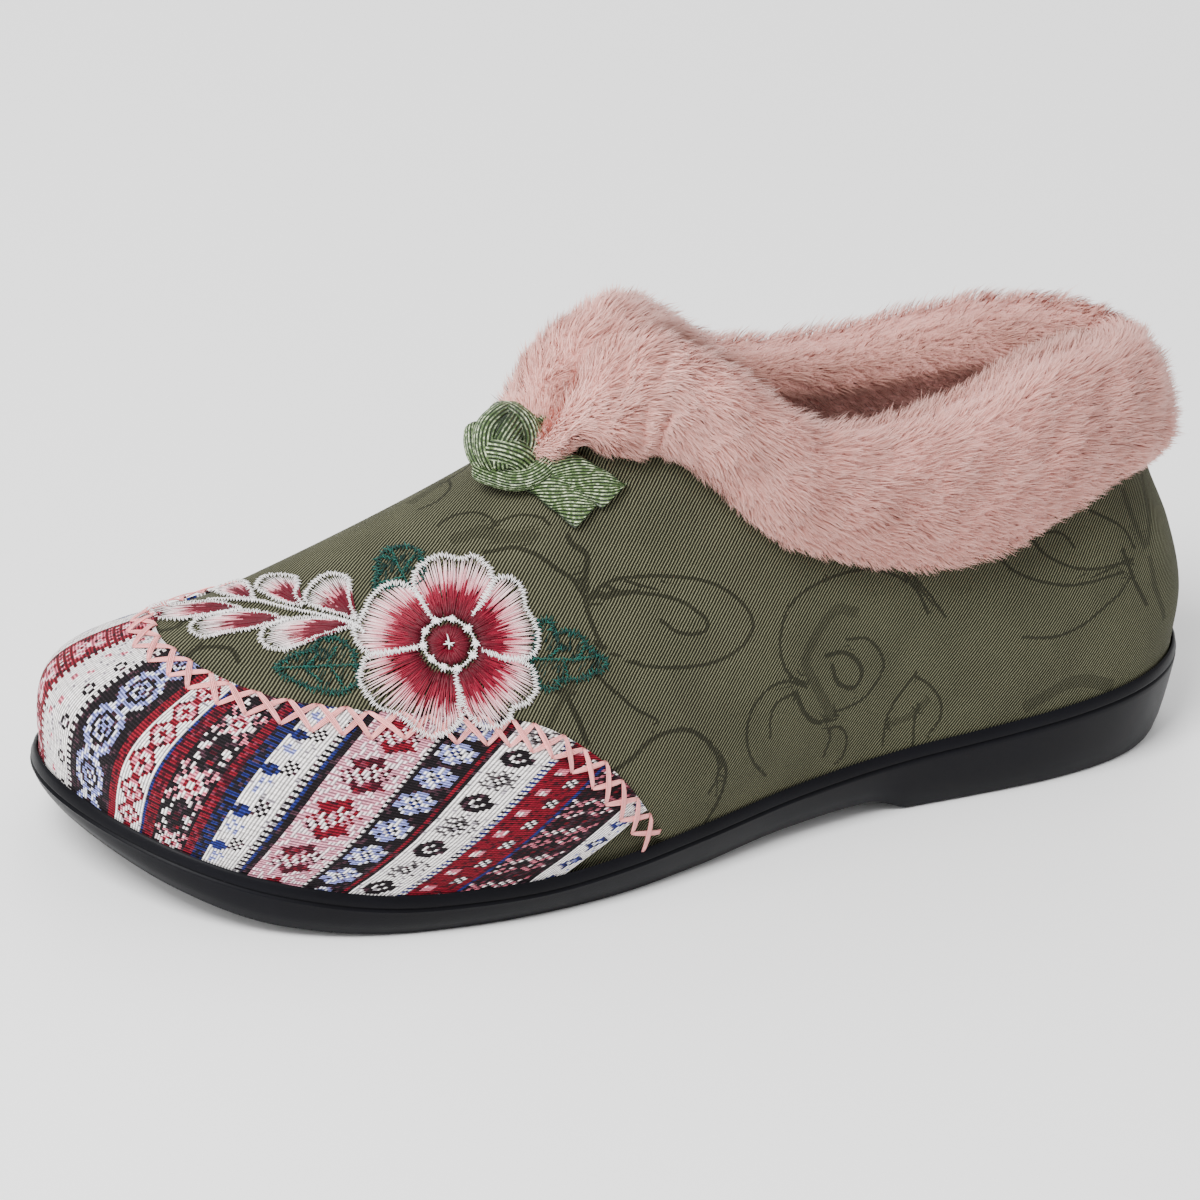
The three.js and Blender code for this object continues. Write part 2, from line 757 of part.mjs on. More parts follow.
// The two flat cords of one side of the closure.
function makeTab(side, grow) {
  const cords = [frontCordRows, rearCordRows].map((rows) => cordSolid(
    rows.map((row) => tabStation(row, side)),
    8,
    grow,
  ));
  return cords[0].add(cords[1]);
}

// The loop of cord that holds the knot, a ring open towards the tab.
function makeRing(grow) {
  const steps = 10;
  const stations = Array.from({ length: steps + 1 }, (_, i) => {
    const angle = (loopStart + ((360 - 2 * loopStart) * i) / steps) * degrees;
    const up = -knotRadius + loopCord + knotSink;
    const centre = knotPoint(Math.sin(angle) * loopRadius, Math.cos(angle) * loopRadius, up);
    return { centre, up: throatUp, wide: loopCord, thick: loopCord };
  });
  return cordSolid(stations, 7, grow);
}

const makeLoop = (grow) => makeTab(1, grow).add(makeRing(grow));

function makeButton(grow) {
  const rings = knotRings.map((row) => knotRing(row, grow));
  return wasm.Manifold.union([ball(knotRadius - ballInset + grow), makeTab(-1, grow), ...rings]);
}

// What is left of a piece off the upper's surface.
function offSkin(solid) {
  return solid.subtract(skinBand(() => -fabricWall, () => clearance, 3, upperFoot));
}

function material(colour, roughness) {
  return new THREE.MeshStandardMaterial({ color: colour, roughness });
}

const group = new THREE.Group();
function addPart(name, solid, colour, roughness) {
  const mesh = new THREE.Mesh(geometryOfSolid(solid), material(colour, roughness));
  mesh.name = name;
  group.add(mesh);
}

addPart('outsole', makeSole(), 0x17171b, 0.45);
addPart('insole', makeInsole(), 0xc7a099, 0.95);
addPart('upper', makeUpper(), 0x6e6c52, 0.9);
addPart('toe_cap', makeToeCap(), 0x8c4b58, 0.9);
const button = keepLargest(offSkin(makeButton(0)));
const loop = keepLargest(offSkin(makeLoop(0)).subtract(makeButton(clearance)));
const frog = makeButton(clearance).add(makeLoop(clearance));
addPart('fur_collar', makeFur(frog), 0xd2a098, 1.0);
addPart('frog_loop', loop, 0x8fae78, 0.6);
addPart('frog_button', button, 0x89a872, 0.6);

const box = new THREE.Box3().setFromObject(group);
group.position.set(-(box.min.x + box.max.x) / 2, -(box.min.y + box.max.y) / 2, -box.min.z);

export default group;
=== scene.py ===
import bpy
import math
import numpy as np
from mathutils import Matrix, Vector, kdtree


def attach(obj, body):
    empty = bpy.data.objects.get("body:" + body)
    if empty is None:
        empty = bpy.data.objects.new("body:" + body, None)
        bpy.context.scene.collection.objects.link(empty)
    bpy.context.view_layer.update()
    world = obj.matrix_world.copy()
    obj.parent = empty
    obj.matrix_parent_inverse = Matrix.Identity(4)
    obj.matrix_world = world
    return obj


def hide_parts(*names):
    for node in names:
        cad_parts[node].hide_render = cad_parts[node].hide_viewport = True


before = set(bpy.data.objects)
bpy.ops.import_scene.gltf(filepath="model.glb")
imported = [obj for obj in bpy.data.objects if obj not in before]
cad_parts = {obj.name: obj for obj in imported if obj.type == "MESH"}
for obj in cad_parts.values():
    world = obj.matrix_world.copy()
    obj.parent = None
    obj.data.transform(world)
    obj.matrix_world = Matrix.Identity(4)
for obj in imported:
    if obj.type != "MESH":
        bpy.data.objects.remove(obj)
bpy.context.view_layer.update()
bpy.ops.object.select_all(action="DESELECT")

# The shoe's skin: turn is the angle round the shoe in degrees, 0 at the heel seam and 180 at the toe;
# reach is the way up from the sole's rim in mm; lift is the height over the skin in mm.
shoe = {"length": 247.0, "ballHalf": 43.5, "shaft": 100.0, "wall": 2.6, "middle": (123.5, 2.6043),
        "ribs": 720, "ribSteps": 200, "spanSteps": 60, "rimBlend": 6}

# place along the shoe, width, shift, rim and ground
soleRows = np.array([
    [0.0, 1.17, 0.007, 19.7, 0], [0.05, 1.12, -0.008, 19.2, 0], [0.13, 0.985, -0.016, 18.0, 0],
    [0.25, 0.822, -0.012, 16.0, 0], [0.3, 0.778, -0.006, 15.2, 0], [0.34, 0.758, 0.002, 14.4, 4.5],
    [0.42, 0.764, 0.028, 12.8, 3.0], [0.52, 0.862, 0.06, 11.0, 0.6], [0.6, 0.97, 0.071, 9.7, 0],
    [0.68, 1.075, 0.066, 8.8, 0], [0.77, 1.185, 0.048, 9.1, 0], [0.88, 1.34, 0.008, 12.4, 2.2],
    [0.95, 1.43, -0.045, 16.2, 6.8], [1.0, 1.44, -0.11, 19.5, 12]])
# turn, x, y and z of each level of the upper, and how far it follows the sole's shift
shoulderRows = np.array([
    [0, 0.002, 0, 0.33], [25, 0.045, 0.47, 0.32], [50, 0.178, 0.69, 0.3], [75, 0.368, 0.73, 0.26],
    [95, 0.54, 0.89, 0.23], [115, 0.71, 1.0, 0.22], [135, 0.852, 0.93, 0.265],
    [158, 0.956, 0.575, 0.315], [180, 0.992, 0, 0.34]])
middleRows = np.array([
    [0, 0.016, 0, 0.45], [25, 0.06, 0.43, 0.45], [50, 0.18, 0.64, 0.43], [75, 0.36, 0.71, 0.41],
    [95, 0.51, 0.77, 0.42], [115, 0.655, 0.755, 0.42], [135, 0.775, 0.61, 0.435],
    [158, 0.85, 0.33, 0.46], [180, 0.87, 0, 0.47]])
cuffRows = np.array([
    [0, 0.042, 0, 0.58], [25, 0.081, 0.35, 0.58], [50, 0.183, 0.53, 0.55], [75, 0.336, 0.645, 0.54],
    [95, 0.448, 0.61, 0.62], [115, 0.524, 0.47, 0.72], [135, 0.557, 0.4, 0.735],
    [158, 0.588, 0.32, 0.74], [170, 0.614, 0.2, 0.727], [180, 0.632, 0, 0.712]])
collarRows = np.array([
    [0, 0.078, 0, 0.81], [25, 0.105, 0.235, 0.825], [50, 0.188, 0.39, 0.82], [75, 0.312, 0.5, 0.765],
    [95, 0.412, 0.5, 0.785], [115, 0.484, 0.36, 0.915], [135, 0.53, 0.18, 0.96],
    [158, 0.577, 0.13, 0.88], [169, 0.595, 0.125, 0.805], [180, 0.612, 0, 0.748]])
skinLevels = [(shoulderRows, 1), (middleRows, 0.6), (cuffRows, 0.2), (collarRows, 0)]


def unit(v):
    return v / np.maximum(np.linalg.norm(v, axis=-1, keepdims=True), 1e-9)


def curveThrough(x, y, level=False):
    step = np.diff(x)
    slope = np.diff(y) / step
    tangent = np.empty(len(x))
    tangent[0], tangent[-1] = slope[0], slope[-1]
    before, after = slope[:-1], slope[1:]
    if level:  # no overshoot between rows
        product = before * after
        total = np.where(np.abs(before + after) < 1e-9, 1, before + after)
        tangent[1:-1] = np.where(product <= 0, 0, 2 * product / total)
    else:
        tangent[1:-1] = (before * step[1:] + after * step[:-1]) / (step[1:] + step[:-1])

    def at(value):
        value = np.asarray(value, float)
        i = np.clip(np.searchsorted(x, value) - 1, 0, len(x) - 2)
        h = x[i + 1] - x[i]
        t = np.clip((value - x[i]) / h, 0, 1)
        return ((2 * t**3 - 3 * t**2 + 1) * y[i] + (t**3 - 2 * t**2 + t) * h * tangent[i]
                + (3 * t**2 - 2 * t**3) * y[i + 1] + (t**3 - t**2) * h * tangent[i + 1])
    return at


def rowCurves(rows, columns, level=False, x=0):
    return [curveThrough(rows[:, x], rows[:, k], level) for k in columns]


def halfTurnCurve(rows, column, sign):
    x = np.concatenate([[-rows[1, 0]], rows[:, 0], [360 - rows[-2, 0]]])
    y = np.concatenate([[sign * rows[1, column]], rows[:, column], [sign * rows[-2, column]]])
    return curveThrough(x, y)


widthAt, shiftAt = rowCurves(soleRows, (1, 2))
rimAt, groundAt = rowCurves(soleRows, (3, 4), True)


def foldTurn(turn):
    wrapped = np.mod(turn, 360.0)
    return np.where(wrapped <= 180, wrapped, 360 - wrapped), np.where(wrapped <= 180, 1, -1)


def placeOf(turn):
    return (1 - np.cos(np.radians(foldTurn(turn)[0]))) / 2


def rimPoint(turn):
    half, side = foldTurn(turn)
    place = placeOf(turn)
    across = shoe["ballHalf"] * widthAt(place) * np.sin(np.radians(half))
    y = side * across + shoe["ballHalf"] * shiftAt(place)
    return np.stack([place * shoe["length"], y, rimAt(place)], -1)


def rimNormal(turn):
    along = rimPoint(turn + 0.5) - rimPoint(turn - 0.5)
    return unit(np.stack([-along[..., 1], along[..., 0], 0 * along[..., 0]], -1))


# The ribs of the skin sampled once on a fine grid
ribCount, ribSteps = shoe["ribs"], shoe["ribSteps"]
ribTurns = np.arange(ribCount) * 360 / ribCount
ribHalf, ribSide = foldTurn(ribTurns)
ribKnots = [rimPoint(ribTurns)]
for levelRows, follow in skinLevels:
    ribKnots.append(np.stack([
        halfTurnCurve(levelRows, 1, 1)(ribHalf) * shoe["length"],
        ribSide * halfTurnCurve(levelRows, 2, -1)(ribHalf) * shoe["ballHalf"]
        + follow * shoe["ballHalf"] * shiftAt(placeOf(ribTurns)),
        halfTurnCurve(levelRows, 3, 1)(ribHalf) * shoe["shaft"]], -1))
ribKnots = [2 * ribKnots[0] - ribKnots[1], *ribKnots, 2 * ribKnots[-1] - ribKnots[-2]]
ribFine = []
for k in range(len(ribKnots) - 3):
    p0, p1, p2, p3 = ribKnots[k:k + 4]
    d0, d1, d2 = [np.linalg.norm(b - a, axis=1, keepdims=True) ** 0.5
                  for a, b in ((p0, p1), (p1, p2), (p2, p3))]
    m1 = ((p1 - p0) / d0 - (p2 - p0) / (d0 + d1) + (p2 - p1) / d1) * d1
    m2 = ((p2 - p1) / d1 - (p3 - p1) / (d1 + d2) + (p3 - p2) / d2) * d1
    for w in np.linspace(0, 1, shoe["spanSteps"], endpoint=False):
        ribFine.append(p1 + m1 * w + (-3 * p1 + 3 * p2 - 2 * m1 - m2) * w**2
                       + (2 * p1 - 2 * p2 + m1 + m2) * w**3)
ribFine.append(ribKnots[-2])
ribFine = np.stack(ribFine, 1)


def wayOf(points):  # length of a line up to each of its points
    steps = np.linalg.norm(np.diff(points, axis=-2), axis=-1)
    return np.concatenate([0 * steps[..., :1], np.cumsum(steps, axis=-1)], -1)


ribWay = wayOf(ribFine)
ribLength = ribWay[:, -1]
skinGrid = np.empty((ribCount, ribSteps + 1, 3))
for i in range(ribCount):
    for axis in range(3):
        skinGrid[i, :, axis] = np.interp(np.linspace(0, ribLength[i], ribSteps + 1), ribWay[i],
                                         ribFine[i, :, axis])
rimBlend = np.clip(np.linspace(0, 1, ribSteps + 1)[None, :] * ribLength[:, None] / shoe["rimBlend"], 0, 1)
rimBlend = (rimBlend**2 * (3 - 2 * rimBlend))[..., None]
skinNormals = unit(np.cross(np.gradient(skinGrid, axis=1), np.roll(skinGrid, -1, 0) - np.roll(skinGrid, 1, 0)))
skinNormals = unit(rimNormal(ribTurns)[:, None, :] * (1 - rimBlend) + skinNormals * rimBlend)


def ribPlace(turn):  # the ribs on both sides of a turn and the share between them
    a = np.mod(turn, 360.0) / 360 * ribCount
    i = np.floor(a).astype(int) % ribCount
    return i, (i + 1) % ribCount, a - np.floor(a)


def between(table, i, j, k, f, g):
    f, g = f[..., None], g[..., None]
    return ((table[i, k] * (1 - f) + table[j, k] * f) * (1 - g)
            + (table[i, k + 1] * (1 - f) + table[j, k + 1] * f) * g)


def gridSample(table, turn, share):
    b = np.clip(share, 0, 1) * ribSteps
    k = np.minimum(np.floor(b).astype(int), ribSteps - 1)
    i, j, f = ribPlace(turn)
    return between(table, i, j, k, f, b - k)


def lengthAt(turn):
    i, j, f = ribPlace(turn)
    return ribLength[i] * (1 - f) + ribLength[j] * f


def floats(*values):
    return np.broadcast_arrays(*[np.asarray(value, float) for value in values])


def skinNormal(turn, reach):
    turn, reach = floats(turn, reach)
    return unit(gridSample(skinNormals, turn, reach / lengthAt(turn)))


def skin(turn, reach, lift=0.0):
    turn, reach, lift = floats(turn, reach, lift)
    length = lengthAt(turn)
    point = gridSample(skinGrid, turn, reach / length)
    tip = unit(gridSample(skinGrid, turn, 1 + 0 * turn) - gridSample(skinGrid, turn, 0.97 + 0 * turn))
    point = point + tip * np.maximum(reach - length, 0)[..., None]
    point[..., 2] += np.minimum(reach, 0)
    return point + skinNormal(turn, reach) * lift[..., None]


def inPlace(points):  # mm on the shoe to metres in the frame
    return (np.asarray(points, float) - [*shoe["middle"], 0]) / 1000


print("skin ready")

# Helpers for meshes and materials
def onlyActive(*pieces):
    bpy.ops.object.select_all(action="DESELECT")
    for piece in pieces:
        piece.select_set(True)
    bpy.context.view_layer.objects.active = pieces[0]


def finishPiece(piece, material, smoothAngle, slot, *nodes):
    piece.data.materials.append(material)
    if smoothAngle:
        onlyActive(piece)
        bpy.ops.object.shade_smooth_by_angle(angle=math.radians(smoothAngle))
    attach(piece, "root")
    if nodes:
        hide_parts(*nodes)
    print(piece.name, len(piece.data.polygons))


def joinPieces(pieces, name):
    onlyActive(*pieces)
    bpy.ops.object.join()
    piece = bpy.context.object
    piece.name = piece.data.name = name
    return piece


def readAll(items, key, width, kind=np.float32):
    values = np.empty(len(items) * width, kind)
    items.foreach_get(key, values)
    return values.reshape(-1, width)


def writeAll(items, key, values, kind=np.float32):
    items.foreach_set(key, np.asarray(values, kind).ravel())


def pointValues(piece, name, values, domain="POINT"):
    writeAll(piece.data.attributes.new(name, "FLOAT_COLOR", domain).data, "color", values)


def withOne(values):  # a last column of ones
    return np.hstack([values, np.ones((len(values), 1))])


def loopVertices(mesh):
    return readAll(mesh.loops, "vertex_index", 1, np.int32)[:, 0]


weldGap = 0.00001
outward = (bpy.ops.mesh.normals_make_consistent, {"inside": False})


def editAll(*steps):
    bpy.ops.object.mode_set(mode="EDIT")
    bpy.ops.mesh.select_all(action="SELECT")
    for operator, settings in steps:
        operator(**settings)
    bpy.ops.object.mode_set(mode="OBJECT")


def unitGrid(columns, rows):
    bpy.ops.object.select_all(action="DESELECT")
    bpy.ops.mesh.primitive_grid_add(x_subdivisions=columns, y_subdivisions=rows, size=1)
    piece = bpy.context.object
    co = readAll(piece.data.vertices, "co", 3).astype(float)
    return piece, piece.data, co[:, 0] + 0.5, co[:, 1] + 0.5


def gridPiece(name, columns, rows, place, uvAt=None):
    piece, mesh, u, v = unitGrid(columns, rows)
    piece.name = mesh.name = name
    writeAll(mesh.vertices, "co", inPlace(place(u, v)))
    if uvAt:
        writeAll(mesh.uv_layers.active.data, "uv", uvAt(u, v)[loopVertices(mesh)])
    mesh.update()
    editAll((bpy.ops.mesh.remove_doubles, {"threshold": weldGap}), outward)
    return piece


def meshPiece(name, points, faces):
    mesh = bpy.data.meshes.new(name)
    mesh.vertices.add(len(points))
    writeAll(mesh.vertices, "co", inPlace(points))
    mesh.loops.add(faces.size)
    writeAll(mesh.loops, "vertex_index", faces, np.int32)
    mesh.polygons.add(len(faces))
    writeAll(mesh.polygons, "loop_start", np.arange(0, faces.size, faces.shape[1]), np.int32)
    writeAll(mesh.polygons, "use_smooth", np.ones(len(faces)), bool)
    mesh.update(calc_edges=True)
    mesh.validate()
    piece = bpy.data.objects.new(name, mesh)
    bpy.context.scene.collection.objects.link(piece)
    return piece


def tubeQuads(steps, sides):  # faces between the rings of a tube
    s, k = np.meshgrid(np.arange(steps - 1) * sides, np.arange(sides), indexing="ij")
    after = (k + 1) % sides
    return np.stack([s + k, s + after, s + sides + after, s + sides + k], -1).reshape(-1, 4)


def nearestOf(points):
    tree = kdtree.KDTree(len(points))
    for k, point in enumerate(points):
        tree.insert(point, k)
    tree.balance()
    return lambda spots: np.array([tree.find(spot)[1] for spot in spots])


def pairs(*flat):
    return np.reshape(flat, (-1, 2))


def throughPoints(line, per, closed=False):  # smooth curve through given points
    line = np.asarray(line, float)
    if closed:
        line = np.vstack([line[-1], line, line[:2]])
    else:
        line = np.vstack([2 * line[0] - line[1], line, 2 * line[-1] - line[-2]])
    w = np.linspace(0, 1, per, endpoint=False)[:, None]
    curve = []
    for a, b, c, d in zip(line, line[1:], line[2:], line[3:]):
        curve.append(b + 0.5 * (c - a) * w + (a - 2.5 * b + 2 * c - 0.5 * d) * w**2
                     + (-0.5 * a + 1.5 * b - 1.5 * c + 0.5 * d) * w**3)
    if not closed:
        curve.append(line[-2:-1])
    return np.concatenate(curve)


def evenSteps(curve, gap):  # the same curve in steps of one length
    way = wayOf(curve)
    at = np.linspace(0, way[-1], max(int(way[-1] / gap), 1) + 1)
    return np.stack([np.interp(at, way, curve[:, k]) for k in range(curve.shape[1])], -1)


def threadMesh(name, paths, ups, wide, thick, colours):  # paths n x steps x 3 in mm, each a closed, tapered thread
    sides, tipShare = 4, 0.4
    n, steps, _ = paths.shape
    along = unit(np.gradient(paths, axis=1))
    side = unit(np.cross(along, ups))
    up = np.cross(side, along)
    grow = np.ones(steps)
    grow[0] = grow[-1] = tipShare
    grow = grow[None, :, None, None]
    angle = (2 * np.pi * (np.arange(sides) + 0.5) / sides)[None, None, :, None]
    ring = (paths[:, :, None, :] + side[:, :, None, :] * wide * grow * np.cos(angle)
            + up[:, :, None, :] * thick * grow * np.sin(angle))
    ends = np.array([[3, 2, 1, 0], [(steps - 1) * sides + i for i in range(sides)]])
    faces = np.vstack([tubeQuads(steps, sides), ends])
    faces = (faces[None] + (np.arange(n) * steps * sides)[:, None, None]).reshape(-1, 4)
    piece = meshPiece(name, ring.reshape(-1, 3), faces)
    pointValues(piece, "yarn", withOne(np.repeat(colours.reshape(n * steps, 3), sides, axis=0)))
    return piece


def isSocket(value):
    return hasattr(value, "is_output")


def addNode(tree, kind, inputs=(), **settings):
    made = tree.nodes.new("ShaderNode" + kind)
    for key, value in settings.items():
        setattr(made, key, value)
    for key, value in dict(inputs).items():
        if isSocket(value):
            tree.links.new(value, made.inputs[key])
        else:
            made.inputs[key].default_value = (*value, 1) if isinstance(value, tuple) else value
    return made


def treeOf(*values):
    return next(value.id_data for value in values if isSocket(value))


def calculate(operation, *values):
    return addNode(treeOf(*values), "Math", enumerate(values), operation=operation).outputs[0]


def times(a, b):
    return calculate("MULTIPLY", a, b)


def timesPlus(a, factor, b):
    return calculate("MULTIPLY_ADD", a, factor, b)


def minus(a, b):
    return calculate("SUBTRACT", a, b)


def wave(value, pace, kind="SINE"):
    return calculate(kind, times(value, pace))


def mixColour(factor, a, b, blend="MIX"):
    return addNode(treeOf(factor, a, b), "Mix", {0: factor, 6: a, 7: b}, data_type="RGBA",
                   blend_type=blend).outputs[2]


def remap(value, low, high, toLow=0.0, toHigh=1.0):
    return addNode(treeOf(value), "MapRange", enumerate((value, low, high, toLow, toHigh)),
                   interpolation_type="SMOOTHSTEP").outputs[0]


def newFinish(name, roughness, sheen=0.0, sheenTint=(1, 1, 1), specular=0.5):
    finish = bpy.data.materials.new(name)
    finish.use_nodes = True
    shader = finish.node_tree.nodes["Principled BSDF"]
    for key, value in (("Roughness", roughness), ("Sheen Weight", sheen), ("Sheen Roughness", 0.4),
                       ("Sheen Tint", (*sheenTint, 1)), ("Specular IOR Level", specular)):
        shader.inputs[key].default_value = value
    return finish, finish.node_tree, shader


def paint(shader, colour, height=None, strength=0.0, distance=0.0):
    tree = colour.id_data
    tree.links.new(colour, shader.inputs["Base Color"])
    if height is not None:
        bump = addNode(tree, "Bump", {"Height": height, "Strength": strength, "Distance": distance})
        tree.links.new(bump.outputs[0], shader.inputs["Normal"])


def noiseAt(place, scale, detail, rough=0.5):
    return addNode(place.id_data, "TexNoise", {"Vector": place, "Scale": scale, "Detail": detail,
                                               "Roughness": rough}).outputs[0]


def objectNoise(tree, scale, detail=3.0, rough=0.5):
    return noiseAt(addNode(tree, "TexCoord").outputs["Object"], scale, detail, rough)


def storedValue(tree, name):
    return addNode(tree, "Attribute", attribute_name=name).outputs["Color"]


# Cloth map: how far along and across the flat cloth each place of the skin lies, in mm
flatSteps = (180, 30)


def flattenCloth():
    sheet, mesh, u, v = unitGrid(*flatSteps)
    u, v = np.round(u, 5), np.round(v, 5)
    turn = np.clip(u * 360, 0.01, 359.99)
    points = inPlace(skin(turn, v * lengthAt(turn)))
    writeAll(mesh.vertices, "co", points)
    mesh.update()
    editAll((bpy.ops.uv.unwrap, {"method": "ANGLE_BASED", "margin": 0.0}))
    flat = np.zeros((len(u), 2))
    flat[loopVertices(mesh)] = readAll(mesh.uv_layers.active.data, "uv", 2)
    order = np.lexsort((v, u))
    flat = flat[order].reshape(len(np.unique(u)), len(np.unique(v)), 2)
    solid = points[order].reshape(*flat.shape[:2], 3) * 1000
    bpy.data.objects.remove(sheet)
    real, drawn = [sum(np.linalg.norm(np.diff(net, axis=k), axis=2).sum() for k in (0, 1)) for net in (solid, flat)]
    flat *= real / drawn
    middle = len(flat) // 2  # the toe's rib runs straight up the sheet
    toe = flat[middle, 0]
    way = unit(flat[middle, -1] - toe)
    flat = flat - toe
    flat = np.stack([flat @ [way[1], -way[0]], flat @ way], -1)
    if flat[middle + 20, 0, 0] > flat[middle, 0, 0]:
        flat[..., 0] *= -1
    return flat


clothGrid = flattenCloth()


def clothAt(turn, reach):
    turn, reach = floats(turn, reach)
    a = np.clip(turn, 0, 359.999) / 360 * (len(clothGrid) - 1)
    i = np.minimum(np.floor(a).astype(int), len(clothGrid) - 2)
    b = np.clip(reach / lengthAt(turn), 0, 0.9999) * (clothGrid.shape[1] - 1)
    k = np.minimum(np.floor(b).astype(int), clothGrid.shape[1] - 2)
    inner = unit(clothGrid[i, 1] - clothGrid[i, 0])
    return between(clothGrid, i, i + 1, k, a - i, b - k) + inner * np.minimum(reach, 0)[..., None]


print("cloth map ready", clothGrid.min((0, 1)).round(1), clothGrid.max((0, 1)).round(1))

# Edge of the toe cap: turn and reach, and how proud of the skin its surface stands
capRows = np.array([
    [94, -8], [97, 0.5], [99.6, 8.9], [101.8, 14.3], [104.8, 20.1], [107.9, 25.2], [111.3, 29.7], [115, 33.4],
    [120, 36.6], [127, 38.9], [134, 39.4], [141, 39.2], [152, 37.8], [165, 37.3], [180, 37.2]])
capReachAt, = rowCurves(capRows, (1,), True)
capProud = 0.5


def capEdge(turn):
    half = foldTurn(turn)[0]
    return np.where(half < 94, -20.0, capReachAt(half))


def solveOn(chart, flat, turns, reaches):  # turn and reach at which a chart gives the flat points
    turns, reaches = [v.ravel() for v in np.meshgrid(turns, reaches, indexing="ij")]
    nearest = nearestOf([(*spot, 0) for spot in chart(turns, reaches)])
    near = nearest([(*spot, 0) for spot in flat])
    turn, reach = turns[near].astype(float), reaches[near].astype(float)
    for _ in range(7):
        miss = flat - chart(turn, reach)
        a = (chart(turn + 0.4, reach) - chart(turn - 0.4, reach)) / 0.8
        b = (chart(turn, reach + 0.4) - chart(turn, reach - 0.4)) / 0.8
        size = a[:, 0] * b[:, 1] - a[:, 1] * b[:, 0]
        turn = turn + np.clip((miss[:, 0] * b[:, 1] - miss[:, 1] * b[:, 0]) / size, -3, 3)
        reach = reach + np.clip((a[:, 0] * miss[:, 1] - a[:, 1] * miss[:, 0]) / size, -3, 3)
    return turn, reach


# Upper cloth
# The cloth's dark colour is painted shade, standing for the hollows between the twill's ribs
upperCloth = {"columns": 720, "rows": 92, "outerShare": 0.84, "foot": 4.2, "underCap": 0.9, "edgeIn": 0.2,
              "pitch": 0.62, "crossPitch": 0.42, "slant": math.radians(60),
              "light": (0.175, 0.174, 0.107), "dark": (0.0055, 0.0055, 0.003), "figure": (0.0045, 0.0045, 0.0025)}
